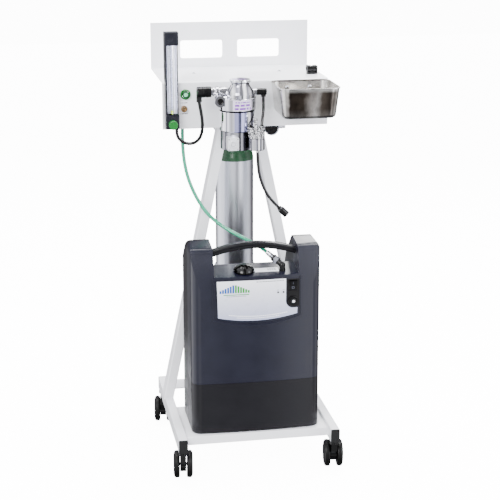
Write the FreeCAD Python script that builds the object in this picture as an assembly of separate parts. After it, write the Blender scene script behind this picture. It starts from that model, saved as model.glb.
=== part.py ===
import FreeCAD, Part
import math
import os
from FreeCAD import Vector as V

# A mobile oxygen station: a white wheeled A-frame that carries an oxygen concentrator, a reserve
# cylinder and a gas panel with flowmeter, flush button, vaporiser, tray and hoses. Millimetres, +Z up.
# The origin is on the floor under the middle of the rails; +X is the station's right as seen from
# the front, and the front looks along -Y.

# ---- driving dimensions ------------------------------------------------------------------------
rail_length = 493.0          # over both end caps
rail_width = 25.0
rail_height = 38.0
rail_wall = 2.0
rail_spacing = 426.0         # between the two rails' centre lines
rail_bottom = 87.0
cap_thickness = 3.0
cap_plug = 5.0               # how far a cap reaches into its rail
sheet = 2.0                  # folded sheet steel
platform_top = 116.0
platform_front = -204.5
platform_depth = 223.0
platform_flange = 24.0

wheel_diameter = 76.0
wheel_width = 17.5
wheel_gap = 19.0             # between the twin wheels
caster_trail = 27.0
caster_turn = 7.5            # degrees the casters stand turned
axle_diameter = 8.0
stem_diameter = 11.0
stem_inset = 16.0            # from the rail's end to the stem
running_clearance = 0.08     # on the radius of a shaft in its hole
moving_gap = 0.4             # between faces that pass each other

upright_width = 28.0
upright_depth = 50.0
upright_front = 59.5
upright_foot_x = 216.0       # centre line at the rail's top
upright_head_x = 19.5        # centre line under the shelf

panel_width = 458.0
panel_front = -22.5
panel_bottom = 944.0
shelf_top = 1072.0
shelf_back = 245.5
panel_top = 1201.0
window_inner = 22.0
window_outer = 144.0
window_bottom = 1098.0
window_top = 1149.0
window_radius = 7.0
bend_radius = 4.0

case_width = 358.0
case_depth = 205.0
case_front_y = -196.5
case_bottom = 118.0
case_top = 652.0
case_wall = 4.0
case_crown = 8.0             # how far the front bulges
case_split = 92.0            # depth of the front covers
case_seam_z = 263.0
seam_gap = 0.8
pocket_half = 117.0          # half the width of the deck between the ears
deck_z = 567.0
deck_slope = 8.0             # degrees
deck_length = 88.0
handle_y = 62.0              # behind the case's front
handle_rise = 20.0
handle_top_z = 649.5
handle_height = 19.0
handle_thickness = 26.0
label_recess = 2.0
label_thickness = 1.2
bead_height = 1.6            # of the bead moulded round the label
knob_diameter = 57.0
knob_height = 21.0

cylinder_diameter = 111.0
cylinder_wall = 6.0
cylinder_bore = 7.0          # radius of the bore through the neck, under the valve
cylinder_y = 170.5
cylinder_base = 215.0
cylinder_shoulder = 816.0
cylinder_top = 878.0
gauge_diameter = 42.0

vaporiser_x = -29.0
vaporiser_y = -96.5
vaporiser_body_x = -36.0     # the body stands a little left of its cap and dial
vaporiser_body_y = -92.0
vaporiser_radius = 48.0
vaporiser_cap_radius = 40.0
vaporiser_bottom = 901.0
flowmeter_x = -205.5
flowmeter_width = 37.0
flowmeter_depth = 34.0
flowmeter_bottom = 950.0
flowmeter_top = 1209.0
float_diameter = 8.0
flush_x = -166.0
flush_z = 1038.5
flush_bore = 9.6
tray_width = 163.0
tray_length = 157.0
tray_depth = 83.0
tray_x = 147.0
tray_rim_z = 1070.5
tray_wall = 1.2
tray_taper = 9.0
hose_diameter = 10.0
loop_hose_diameter = 9.0
thin_hose_diameter = 8.0

# ---- worked-out values -------------------------------------------------------------------------
rail_top = rail_bottom + rail_height
rail_x = rail_spacing / 2
rail_inner = rail_x - rail_width / 2
rail_end = rail_length / 2
stem_y = rail_end - stem_inset
wheel_radius = wheel_diameter / 2
shelf_under = shelf_top - sheet
case_back_y = case_front_y + case_depth
flowmeter_front = panel_front - flowmeter_depth
cylinder_radius = cylinder_diameter / 2


# ---- helpers -----------------------------------------------------------------------------------
def block(x0, x1, y0, y1, z0, z1):
    """A box between two corners."""
    return Part.makeBox(x1 - x0, y1 - y0, z1 - z0, V(x0, y0, z0))


def rod(radius, length, start, direction=(0, 0, 1)):
    """A round bar from start along direction."""
    return Part.makeCylinder(radius, length, V(*start), V(*direction))


def ring(outer, inner, length, start, direction=(0, 0, 1)):
    """A round bar with a hole through it."""
    return rod(outer, length, start, direction).cut(rod(inner, length, start, direction))


def turned(profile, centre, direction=(0, 0, 1)):
    """A solid of revolution: profile is (radius, height) pairs along direction from centre."""
    wire = Part.makePolygon([V(r, 0, z) for r, z in profile] + [V(profile[0][0], 0, profile[0][1])])
    solid = Part.Face(wire).revolve(V(0, 0, 0), V(0, 0, 1), 360)
    solid.Placement = FreeCAD.Placement(V(*centre), FreeCAD.Rotation(V(0, 0, 1), V(*direction)))
    return solid


def prism(points, direction):
    """A straight prism over a closed polygon of 3-D points."""
    corners = [V(*p) for p in points]
    return Part.Face(Part.makePolygon(corners + corners[:1])).extrude(V(*direction))


def rounded(solid, radius, test):
    """The solid with every edge that passes the test filleted."""
    return solid.makeFillet(radius, [e for e in solid.Edges if test(e)])


def along(axis):
    """A test for straight edges that run along an axis."""
    def test(edge):
        if not isinstance(edge.Curve, Part.Line):
            return False
        return abs(abs(edge.Curve.Direction.dot(V(*axis))) - 1) < 1e-6
    return test


def rounded_block(x0, x1, y0, y1, z0, z1, radius, axis):
    """A box with the four edges along one axis rounded."""
    return rounded(block(x0, x1, y0, y1, z0, z1), radius, along(axis))


def mirrored(solid):
    """The same piece on the other side of the middle plane."""
    return solid.mirror(V(0, 0, 0), V(1, 0, 0))


def fused(first, *others):
    """One solid from several that touch."""
    return first.fuse(list(others)).removeSplitter()


def save(node, *pieces):
    """Writes one node, made of one or more separate solids."""
    solids = [s for piece in pieces for s in piece.Solids]
    for solid in solids:
        if not solid.isValid() or solid.Volume < 1:
            raise ValueError(node)
    shape = solids[0] if len(solids) == 1 else Part.makeCompound(solids)
    shape.exportStep("parts/" + node + ".step")
    print(node, len(solids), "solids", round(shape.Volume / 1000, 1), "cm3")


def hose(node, points, diameter):
    """A round hose: straight runs between the points, joined by arcs as large as the runs allow."""
    route = [V(*p) for p in points]
    edges = []
    radii = []
    start = route[0]
    for before, corner, after in zip(route, route[1:], route[2:]):
        run_in = corner - before
        run_out = after - corner
        turn = run_in.getAngle(run_out)
        reach = 0.45 * min(run_in.Length, run_out.Length)
        radius = reach / math.tan(turn / 2)
        ahead = V(run_out).normalize()
        behind = V(run_in).normalize()
        first = corner - behind * reach
        last = corner + ahead * reach
        inward = (ahead - behind).normalize()
        middle = corner + inward * (radius / math.cos(turn / 2) - radius)
        edges.append(Part.LineSegment(start, first).toShape())
        edges.append(Part.Arc(first, middle, last).toShape())
        start = last
        radii.append(round(radius / diameter, 1))
    edges.append(Part.LineSegment(start, route[-1]).toShape())
    path = Part.Wire(edges)
    section = Part.Wire(Part.Circle(route[0], route[1] - route[0], diameter / 2).toShape())
    tube = path.makePipeShell([section], True, False)
    share = tube.Volume / (math.pi * diameter ** 2 / 4 * path.Length)
    print(node, "length", round(path.Length), "radii in diameters", radii, "volume share",
          round(share, 4))
    save(node, tube)


# ---- the stand: rails, caps, platform, uprights ----------------------------------------------
def make_rails():
    tubes = []
    for side in (-1, 1):
        x = side * rail_x
        half = rail_width / 2
        length = rail_end - cap_thickness
        outer = rounded_block(x - half, x + half, -length, length, rail_bottom, rail_top, 2.5, (0, 1, 0))
        bore = block(x - half + rail_wall, x + half - rail_wall, -length, length,
                     rail_bottom + rail_wall, rail_top - rail_wall)
        tube = outer.cut(bore)
        for y in (-stem_y, stem_y):
            tube = tube.cut(rod(stem_diameter / 2 + running_clearance, rail_wall * 2,
                                (x, y, rail_bottom - 1)))
        tubes.append(tube)
    save("side_rails", *tubes)


def make_rail_caps():
    caps = []
    for side in (-1, 1):
        for end in (-1, 1):
            x = side * rail_x
            half = rail_width / 2
            inner_y = end * (rail_end - cap_thickness)
            outer_y = end * rail_end
            face = rounded_block(x - half, x + half, min(inner_y, outer_y), max(inner_y, outer_y),
                                 rail_bottom, rail_top, 2.5, (0, 1, 0))
            plug_y = end * (rail_end - cap_thickness - cap_plug)
            inset = rail_wall + 0.1
            plug = block(x - half + inset, x + half - inset, min(plug_y, inner_y), max(plug_y, inner_y),
                         rail_bottom + inset, rail_top - inset)
            caps.append(fused(face, plug))
    save("rail_caps", *caps)


def make_platform():
    back = platform_front + platform_depth
    top = block(-rail_inner, rail_inner, platform_front, back, platform_top - sheet, platform_top)
    flange_z = platform_top - platform_flange
    front = block(-rail_inner, rail_inner, platform_front, platform_front + sheet, flange_z, platform_top)
    rear = block(-rail_inner, rail_inner, back - sheet, back, flange_z, platform_top)
    whole = fused(top, front, rear)
    save("platform",
         rounded(whole, 1.5, lambda e: along((1, 0, 0))(e) and e.CenterOfMass.z > platform_top - 0.1))


def make_cylinder_seat():
    """A cross plate over the rails with a raised, hat-shaped seat and a lip ring for the cylinder."""
    half = 74.0
    y0 = cylinder_y - half
    y1 = cylinder_y + half - 6
    cross = block(-rail_x, rail_x, cylinder_y - 35, cylinder_y + 35, rail_top, rail_top + 3)
    seat_z = cylinder_base
    left = block(-half, -half + 3, y0 + 30, y1 - 30, rail_top + 3, seat_z)
    right = block(half - 3, half, y0 + 30, y1 - 30, rail_top + 3, seat_z)
    top = rounded_block(-half, half, y0, y1, seat_z - 3, seat_z, 10, (0, 0, 1))
    lip = ring(cylinder_radius + 5, cylinder_radius + 1.5, 22, (0, cylinder_y, seat_z))
    save("cylinder_seat", fused(cross, left, right, top, lip))


def upright_centre(z):
    """The centre line's distance from the middle at a height."""
    share = (z - rail_top) / (shelf_under - rail_top)
    return upright_foot_x + (upright_head_x - upright_foot_x) * share


def make_uprights():
    half = upright_width / 2
    back = upright_front + upright_depth

    def bar(inset, low, high):
        foot = upright_centre(low)
        head = upright_centre(high)
        corners = [(foot - half + inset, upright_front + inset, low),
                   (foot + half - inset, upright_front + inset, low),
                   (head + half - inset, upright_front + inset, high),
                   (head - half + inset, upright_front + inset, high)]
        return prism(corners, (0, back - upright_front - 2 * inset, 0))

    outer = bar(0, rail_top, shelf_under)
    outer = rounded(outer, 3.0,
                    lambda e: isinstance(e.Curve, Part.Line) and e.Length > shelf_under - rail_top)
    hollow = bar(2.0, rail_top - 1, shelf_under + 1)
    right = outer.cut(hollow)
    save("uprights", right, mirrored(right))


def make_cylinder_bracket():
    """A cross bar behind the uprights and a steel hoop that holds the cylinder, one weldment."""
    low = 465.0
    high = 495.0
    back = upright_front + upright_depth
    reach = upright_centre(low) + upright_width / 2
    bar = block(-reach, reach, back, back + 4, low, high)
    hoop = ring(cylinder_radius + 4.5, cylinder_radius + 1.5, high - low, (0, cylinder_y, low))
    save("cylinder_bracket",
         fused(bar, hoop).cut(rod(cylinder_radius + 1.5, high - low, (0, cylinder_y, low))))


# ---- top panel ---------------------------------------------------------------------------------
def make_top_panel():
    half = panel_width / 2
    front = block(-half, half, panel_front, panel_front + sheet, panel_bottom, shelf_top)
    shelf = block(-half, half, panel_front, shelf_back, shelf_under, shelf_top)
    back = block(-half, half, shelf_back - sheet, shelf_back, shelf_under, panel_top)
    whole = fused(front, shelf, back)
    whole = rounded(whole, bend_radius, lambda e: along((1, 0, 0))(e) and e.Length > panel_width - 1 and (
        (abs(e.CenterOfMass.y - panel_front) < 0.1 and abs(e.CenterOfMass.z - shelf_top) < 0.1)
        or (abs(e.CenterOfMass.y - shelf_back) < 0.1 and abs(e.CenterOfMass.z - shelf_under) < 0.1)))
    for side in (-1, 1):
        x0 = min(side * window_inner, side * window_outer)
        x1 = max(side * window_inner, side * window_outer)
        whole = whole.cut(rounded_block(x0, x1, shelf_back - 10, shelf_back + 10, window_bottom,
                                        window_top,
                                        window_radius, (0, 1, 0)))
    save("top_panel", whole.cut(rod(flush_bore, 20, (flush_x, panel_front - 5, flush_z), (0, 1, 0))))


# ---- casters -----------------------------------------------------------------------------------
def make_casters():
    for end, end_name in ((-1, "front"), (1, "rear")):
        for side, side_name in ((-1, "left"), (1, "right")):
            stem_x = side * rail_x
            stem_at = end * stem_y
            # built with the stem on the origin and the wheels trailing towards +Y, then turned
            turn = -caster_turn if end < 0 else 180 - caster_turn
            axle_z = wheel_radius
            hub_half = wheel_gap / 2 - 1.0
            hub = rod(21, 2 * hub_half, (-hub_half, caster_trail, axle_z), (1, 0, 0))
            fairing = prism([(-hub_half, -11, 58), (-hub_half, -11, 78),
                             (-hub_half, caster_trail + 16, 78),
                             (-hub_half, caster_trail + 34, 62), (-hub_half, caster_trail + 20, axle_z),
                             (-hub_half, caster_trail - 18, axle_z)], (2 * hub_half, 0, 0))
            crown = rod(13, 9, (0, 0, rail_bottom - 9.3))
            stem = rod(stem_diameter / 2, 26, (0, 0, rail_bottom - 1))
            bore = rod(axle_diameter / 2 + running_clearance, 2 * hub_half + 2,
                       (-hub_half - 1, caster_trail, axle_z),
                       (1, 0, 0))
            swivel = fused(hub, fairing, crown, stem).cut(bore)
            wheels = []
            for hand in (-1, 1):
                inner = wheel_gap / 2
                outer = inner + wheel_width
                r = wheel_radius
                profile = [(axle_diameter / 2, inner), (r - 4, inner), (r - 1, inner + 1.6),
                           (r, inner + 5), (r, outer - 7.5),
                           (r - 1.6, outer - 3.6), (r - 6, outer - 1.2), (r - 12, outer),
                           (12, outer), (9, outer - 1.5),
                           (axle_diameter / 2, outer - 1.5)]
                wheels.append(turned(profile, (0, caster_trail, axle_z), (hand, 0, 0)))
            reach = wheel_gap / 2 + wheel_width - 2
            axle = rod(axle_diameter / 2, 2 * reach, (-reach, caster_trail, axle_z), (1, 0, 0))
            place = FreeCAD.Placement(V(stem_x, stem_at, 0), FreeCAD.Rotation(V(0, 0, 1), turn))
            for shape in [swivel, axle] + wheels:
                shape.Placement = place.multiply(shape.Placement)
            save("caster_swivel_" + end_name + "_" + side_name, swivel)
            save("caster_wheels_" + end_name + "_" + side_name, axle, *wheels)


# ---- concentrator case -------------------------------------------------------------------------
def above_shoulder(front, top):
    """What is cut away over the case's front: it leans back in one smooth curve that follows the bulge."""
    centre = V(0, front + ((case_width / 2) ** 2 + case_crown ** 2) / (2 * case_crown), 0)

    def at(depth, drop):
        return V(0, front + depth, top - drop)

    outline = Part.Wire([
        Part.LineSegment(at(-30, 120), at(0, 120)).toShape(),
        Part.Arc(at(0, 120), at(5.14, 70.9), at(20.3, 24)).toShape(),
        Part.Arc(at(20.3, 24), at(24.8, 14.6), at(36, 9.2)).toShape(),
        Part.LineSegment(at(36, 9.2), at(36, -60)).toShape(),
        Part.LineSegment(at(36, -60), at(-30, -60)).toShape(),
        Part.LineSegment(at(-30, -60), at(-30, 120)).toShape()])
    face = Part.Face(outline)
    face.rotate(centre, V(0, 0, 1), -7)
    return face.revolve(centre, V(0, 0, 1), 14)


def case_body(inset):
    """The case's outer form, drawn in by an inset on every side."""
    half = case_width / 2 - inset
    front = case_front_y + inset
    back = case_back_y - inset
    low = case_bottom + inset
    tall = case_top + 40
    outline = Part.Wire([
        Part.Arc(V(-half, front + case_crown, low), V(0, front, low),
                 V(half, front + case_crown, low)).toShape(),
        Part.LineSegment(V(half, front + case_crown, low), V(half, back, low)).toShape(),
        Part.LineSegment(V(half, back, low), V(-half, back, low)).toShape(),
        Part.LineSegment(V(-half, back, low), V(-half, front + case_crown, low)).toShape()])
    plan = Part.Face(outline).extrude(V(0, 0, tall - low))
    upright_edges = along((0, 0, 1))
    plan = rounded(plan, 27 - inset,
                   lambda e: upright_edges(e) and e.CenterOfMass.y < 0.5 * (front + back))
    plan = rounded(plan, 24 - inset, lambda e: upright_edges(e) and abs(e.CenterOfMass.y - back) < 0.1)
    top = case_top - inset
    side = prism([(-half - 9, front - 20, low - 9), (-half - 9, front - 20, top - 16.4),
                  (-half - 9, front + 108, top), (-half - 9, back - 20, top - 70),
                  (-half - 9, back, top - 110), (-half - 9, back + 9, low - 9)],
                 (2 * half + 18, 0, 0))
    for y, z in ((front + 108, top), (back - 20, top - 70)):
        side = rounded(side, 30, lambda e: along((1, 0, 0))(e) and abs(e.CenterOfMass.y - y) < 0.2
                       and abs(e.CenterOfMass.z - z) < 0.2)
    face = rounded(block(-half, half, front - 30, back + 30, low - 9, top), 22,
                   lambda e: along((0, 1, 0))(e) and e.CenterOfMass.z > top - 1)
    body = plan.common(side).common(face).cut(above_shoulder(front, top))
    slope = math.tan(math.radians(deck_slope))
    deck_front = deck_z - inset
    pocket = prism([(-pocket_half - inset, front - 40, deck_front - slope * 40),
                    (-pocket_half - inset, front + deck_length, deck_front + slope * deck_length),
                    (-pocket_half - inset, back + 40, deck_front - 34),
                    (-pocket_half - inset, back + 40, tall), (-pocket_half - inset, front - 40, tall)],
                   (2 * (pocket_half + inset), 0, 0))
    return body.cut(pocket)


def front_region(points, arcs=()):
    """A prism through the case's front over an outline of (x, z) points; arcs name middle points."""
    edges = []
    middles = dict(arcs)
    y = case_front_y - 20
    for index, (x, z) in enumerate(points):
        nx, nz = points[(index + 1) % len(points)]
        if index in middles:
            mx, mz = middles[index]
            edges.append(Part.Arc(V(x, y, z), V(mx, y, mz), V(nx, y, nz)).toShape())
        else:
            edges.append(Part.LineSegment(V(x, y, z), V(nx, y, nz)).toShape())
    return Part.Face(Part.Wire(edges)).extrude(V(0, 60, 0))


switch_x = 100.0
rocker_z = 536.0
rocker_width = 23.0
rocker_height = 27.0
rocker_tilt = 8.0
rocker_pivot_depth = 8.0
rocker_clearance = 1.6       # above and below the rocker, for its tilt
breaker_z = 492.0
breaker_radius = 7.0
knob_y = 39.0                # along the deck from its front edge
outlet_x = 75.0
outlet_y = 31.0
led_spots = ((57.7, 519.0), (73.0, 519.0))
grille_half = 62.0
grille_low = 170.0
grille_high = 290.0
inlet_x = 125.0
inlet_z = 200.0
case_screw_spots = ((-160.0, 150.0), (160.0, 150.0), (-160.0, 500.0), (160.0, 500.0))


def on_deck(shape):
    """Moves a piece drawn on a level deck, from its front edge, to the sloping deck."""
    shape.Placement = FreeCAD.Placement(V(0, case_front_y, deck_z),
                                        FreeCAD.Rotation(V(1, 0, 0), deck_slope)
                                        ).multiply(shape.Placement)
    return shape


def front_depth(x):
    """How far the front face falls back from its middle at a distance x."""
    return case_crown * (x / (case_width / 2)) ** 2


def make_case():
    shell = case_body(0).cut(case_body(case_wall))
    recess = front_region([(-113, 560), (118, 560), (118.5, 452), (-113, 450)], ((2, (0, 433)),))
    shell = shell.cut(recess.cut(case_body(label_recess)))
    bead = front_region([(-121, 563), (126, 563), (126.5, 446), (-121, 444)], ((2, (0, 424.5)),))
    bead = bead.cut(front_region([(-116, 570), (121, 570), (121.5, 450), (-116, 448)], ((2, (0, 430)),)))
    shell = shell.fuse(bead.common(case_body(-bead_height)).cut(case_body(0.5))).removeSplitter()
    rocker_hole = block(switch_x - rocker_width / 2 - 1, switch_x + rocker_width / 2 + 1,
                        case_front_y - 20,
                        case_front_y + 40, rocker_z - rocker_height / 2 - rocker_clearance,
                        rocker_z + rocker_height / 2 + rocker_clearance)
    breaker_hole = rod(breaker_radius + moving_gap, 60, (switch_x, case_front_y - 20, breaker_z),
                       (0, 1, 0))
    shell = shell.cut(rocker_hole).cut(breaker_hole)
    shell = shell.cut(on_deck(rod(5 + running_clearance, 40, (0, 0, -20)).translated(V(-30, knob_y, 0))))
    shell = shell.cut(rod(6, 40, (outlet_x, case_front_y + outlet_y, deck_z - 20)))
    grille_hole = rounded_block(-grille_half, grille_half, case_back_y - 20, case_back_y + 5, grille_low,
                                grille_high,
                                8, (0, 1, 0))
    inlet_hole = block(inlet_x - 15, inlet_x + 15, case_back_y - 20, case_back_y + 5, inlet_z - 12,
                       inlet_z + 12)
    shell = shell.cut(grille_hole).cut(inlet_hole)
    for x, z in case_screw_spots:
        shell = shell.cut(rod(3.2, 20, (x, case_back_y - 10, z), (0, 1, 0)))
    far = 400.0
    split_y = case_front_y + case_split
    ahead = block(-far, far, case_front_y - far, split_y, 0, 2 * far)
    behind = block(-far, far, split_y + seam_gap, far, 0, 2 * far)
    above = block(-far, far, -far, far, case_seam_z, 2 * far)
    below = block(-far, far, -far, far, 0, case_seam_z - seam_gap)
    save("case_front", shell.common(ahead).common(above))
    save("case_front_lower", shell.common(ahead).common(below))
    save("case_rear", shell.common(behind))


def make_handle():
    """An arched grip between the ears."""
    radius = (pocket_half ** 2 + handle_rise ** 2) / (2 * handle_rise)
    centre_z = handle_top_z - handle_height / 2 - radius
    y = case_front_y + handle_y - handle_thickness / 2
    band = ring(radius + handle_height / 2, radius - handle_height / 2, handle_thickness,
                (0, y, centre_z), (0, 1, 0))
    band = band.common(block(-pocket_half, pocket_half, y - 5, y + handle_thickness + 5,
                             centre_z + radius / 2,
                             centre_z + 2 * radius))
    save("case_handle", rounded(band, 6.0, lambda e: e.Length > pocket_half))


def front_plate(outline, outer_inset):
    """A thin plate that follows the front face, seated on the recess floor."""
    return outline.common(case_body(outer_inset)).cut(case_body(label_recess))


def make_labels():
    outline = front_region([(-110, 556), (80, 556), (80, 492), (100, 472), (112, 472), (112, 456),
                            (-107, 453)],
                           ((2, (86, 478)), (5, (0, 442))))
    control = front_plate(outline, label_recess - label_thickness)
    for x, z in led_spots:
        control = control.cut(rod(2.6, 60, (x, case_front_y - 20, z), (0, 1, 0)))
    deck = on_deck(block(-1, outlet_x - 9.5, 28, 52, 0, 0.6))
    save("labels", control, deck)


def make_switches():
    plate = front_region([(83, 554), (117, 554), (117, 475.5), (101, 475.5), (83, 493)],
                         ((3, (89, 481)),))
    plate = front_plate(plate, 0.6)
    collar = ring(13, breaker_radius + moving_gap, 8, (switch_x, case_front_y - 1, breaker_z), (0, 1, 0))
    plate = fused(plate, collar.cut(case_body(label_recess)))
    hole = block(switch_x - rocker_width / 2 - moving_gap, switch_x + rocker_width / 2 + moving_gap,
                 case_front_y - 20,
                 case_front_y + 40, rocker_z - rocker_height / 2 - rocker_clearance,
                 rocker_z + rocker_height / 2 + rocker_clearance)
    bore = rod(breaker_radius + moving_gap, 60, (switch_x, case_front_y - 20, breaker_z), (0, 1, 0))
    save("switch_plate", plate.cut(hole).cut(bore))
    y0 = case_front_y + front_depth(switch_x) - 1.5
    pivot_y = case_front_y + rocker_pivot_depth
    rocker = block(switch_x - rocker_width / 2, switch_x + rocker_width / 2, y0, pivot_y + 3,
                   rocker_z - rocker_height / 2, rocker_z + rocker_height / 2)
    valley = prism([(0, y0 - 4, rocker_z + 30), (0, y0 - 4, rocker_z - 30), (0, y0 - 0.5, rocker_z - 30),
                    (0, y0 + 1.6, rocker_z),
                    (0, y0 - 0.5, rocker_z + 30)], (2 * switch_x, 0, 0))
    rocker = rocker.cut(valley)
    rocker.rotate(V(switch_x, pivot_y, rocker_z), V(1, 0, 0), rocker_tilt)
    save("power_rocker", rocker)
    button = rod(breaker_radius, 20, (switch_x, case_front_y - 3.5, breaker_z), (0, 1, 0))
    save("breaker_button", rounded(button, 1.2, lambda e: e.CenterOfMass.y < case_front_y))


def make_deck_fittings():
    r = knob_diameter / 2
    profile = [(0, 0.6), (r - 1, 0.6), (r, 2.2), (r, 6), (r - 2.5, 10.5), (r - 8, 15.5), (r - 15, 19),
               (r - 22, knob_height), (0, knob_height)]
    knob = turned(profile, (-30, knob_y, 0))
    spindle = rod(5, 20, (-30, knob_y, -14))
    save("flow_knob", on_deck(fused(knob, spindle)))
    head = V(outlet_x, case_front_y + outlet_y + 2, deck_z + 19)
    slope = math.tan(math.radians(deck_slope))
    foot_z = deck_z + slope * (outlet_y + 9)
    flange = rod(9, 9, (outlet_x, case_front_y + outlet_y, foot_z - 6)).cut(case_body(0))
    shank = rod(5.9, 24, (outlet_x, case_front_y + outlet_y, deck_z - 6))
    column = rod(8, 18, (outlet_x, case_front_y + outlet_y, deck_z + 4)).cut(case_body(0))
    barrel = rod(8, 16, tuple(head), tuple(outlet_axis))
    ball = Part.makeSphere(9, head)
    elbow = fused(column, flange, ball, barrel, shank)
    save("outlet_elbow", elbow)
    start = head + outlet_axis * 16
    nut = Part.Face(Part.makePolygon([V(10.4 * math.cos(math.radians(60 * k)),
                                        10.4 * math.sin(math.radians(60 * k)), 0)
                                      for k in range(7)])).extrude(V(0, 0, 12))
    nut = fused(nut, rod(8.2, 8, (0, 0, 11)), rod(7.2, 9, (0, 0, 18)))
    nut.Placement = FreeCAD.Placement(start, FreeCAD.Rotation(V(0, 0, 1), outlet_axis))
    save("outlet_coupling", nut)


outlet_axis = V(-0.6, 0.64, 0.48).normalize()


# ---- inside the concentrator -------------------------------------------------------------------
def make_inside():
    floor_z = case_bottom + case_wall + 0.5
    inner_back = case_back_y - case_wall
    inner_front = case_front_y + case_crown + case_wall
    bulkhead_y = case_front_y + 140
    fan_z = 235.0
    fan_radius = 46.0
    chassis = block(-150, 150, inner_front + 14, inner_back - 26, floor_z, floor_z + 3)
    wall = block(-66, 66, bulkhead_y, bulkhead_y + 3, floor_z + 3, fan_z + 62)
    tunnel = rod(fan_radius + 4, 22, (0, bulkhead_y, fan_z), (0, 1, 0))
    throat = rod(fan_radius + 1, 40, (0, bulkhead_y - 5, fan_z), (0, 1, 0))
    strut = block(-fan_radius - 2, fan_radius + 2, bulkhead_y, bulkhead_y + 2.5, fan_z - 4, fan_z + 4)
    pin = rod(3, 19, (0, bulkhead_y, fan_z), (0, 1, 0))
    save("chassis", fused(chassis, wall, tunnel).cut(throat).fuse([strut, pin]).removeSplitter())
    hub = ring(15, 3 + running_clearance, 15, (0, bulkhead_y + 4, fan_z), (0, 1, 0))
    blades = []
    for k in range(7):
        blade = block(12, fan_radius - 1, -1.1, 1.1, -7, 7)
        blade.rotate(V(0, 0, 0), V(1, 0, 0), 35)
        blade.translate(V(0, bulkhead_y + 11.5, fan_z))
        blade.rotate(V(0, bulkhead_y, fan_z), V(0, 1, 0), k * 360 / 7)
        blades.append(blade)
    trim = rod(fan_radius, 15, (0, bulkhead_y + 4, fan_z), (0, 1, 0))
    shaft_hole = rod(3 + running_clearance, 40, (0, bulkhead_y - 5, fan_z), (0, 1, 0))
    save("fan_rotor", fused(hub, *blades).common(trim).cut(shaft_hole))
    motor_y = case_front_y + 78
    motor_z = floor_z + 72
    motor = rod(42, 96, (-48, motor_y, motor_z), (1, 0, 0))
    motor = fused(motor, block(-40, 40, motor_y - 30, motor_y + 30, motor_z - 50, motor_z - 20))
    heads = []
    for side in (-1, 1):
        head = rounded_block(-14, 14, motor_y - 24, motor_y + 24, motor_z - 20, motor_z + 74, 4,
                             (0, 0, 1))
        for k in range(5):
            head = head.cut(ring(60, 26, 3, (0, motor_y, motor_z + 34 + 8 * k)))
        head.translate(V(side * 62, 0, 0))
        heads.append(head)
    mounts = [rod(9, motor_z - 50 - floor_z - 3, (x, motor_y + dy, floor_z + 3))
              for x in (-32, 32) for dy in (-22, 22)]
    save("compressor", motor, *(heads + mounts))
    beds = []
    for x in (-118, 118):
        bed = rod(34, 300, (x, case_front_y + 100, floor_z + 3.2))
        beds.append(fused(bed, rod(37, 10, (x, case_front_y + 100, floor_z + 3.2)),
                          rod(37, 10, (x, case_front_y + 100, floor_z + 293.2))))
    tank = rod(27, 150, (0, case_front_y + 65, floor_z + 190))
    manifold = block(-80, 80, case_front_y + 92, case_front_y + 128, floor_z + 305, floor_z + 335)
    save("sieve_beds", tank, manifold, *beds)
    board = block(-95, 95, case_front_y + 24, case_front_y + 25.6, 440, 545)
    chips = [block(x, x + 26, case_front_y + 25.6, case_front_y + 36, z, z + 18)
             for x in (-80, -30, 30) for z in (455, 500)]
    lights = []
    for x, z in led_spots:
        y = case_front_y + front_depth(x)
        lights.append(rod(2.4, label_recess + 0.6, (x, y - 0.9, z),
                          (0, 1, 0)).cut(case_body(label_recess)))
    save("circuit_board", fused(board, *chips), *lights)


def make_rear_fittings():
    y = case_back_y
    gap = moving_gap
    plate = rounded_block(-grille_half + gap, grille_half - gap, y - 3.5, y, grille_low + gap,
                          grille_high - gap, 7.6, (0, 1, 0))
    lip = rounded_block(-grille_half - 5, grille_half + 5, y + gap, y + 3, grille_low - 5,
                        grille_high + 5, 10, (0, 1, 0))
    frame = fused(plate, lip,
                  rounded_block(-grille_half + gap, grille_half - gap, y - 1, y + 1, grille_low + gap,
                                            grille_high - gap, 7.6, (0, 1, 0)))
    for k in range(11):
        z = grille_low + 12 + k * 9.2
        frame = frame.cut(rounded_block(-grille_half + 9, grille_half - 9, y - 10, y + 10, z, z + 4.4,
                                        2.1, (0, 1, 0)))
    foam = block(-grille_half + 4, grille_half - 4, y - 11.5, y - 3.5, grille_low + 4, grille_high - 4)
    save("filter_grille", frame, foam)
    socket = block(inlet_x - 14.8, inlet_x + 14.8, y - 18, y, inlet_z - 11.8, inlet_z + 11.8)
    flange = rounded_block(inlet_x - 19, inlet_x + 19, y, y + 2.5, inlet_z - 16, inlet_z + 16, 4,
                           (0, 1, 0))
    well = block(inlet_x - 11.5, inlet_x + 11.5, y - 14, y + 9, inlet_z - 7.5, inlet_z + 7.5)
    pins = [block(inlet_x + dx - 1, inlet_x + dx + 1, y - 14.5, y - 3, inlet_z - 2,
                  inlet_z + 2) for dx in (-7, 0, 7)]
    save("power_inlet", fused(socket, flange).cut(well).fuse(pins).removeSplitter())


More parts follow.
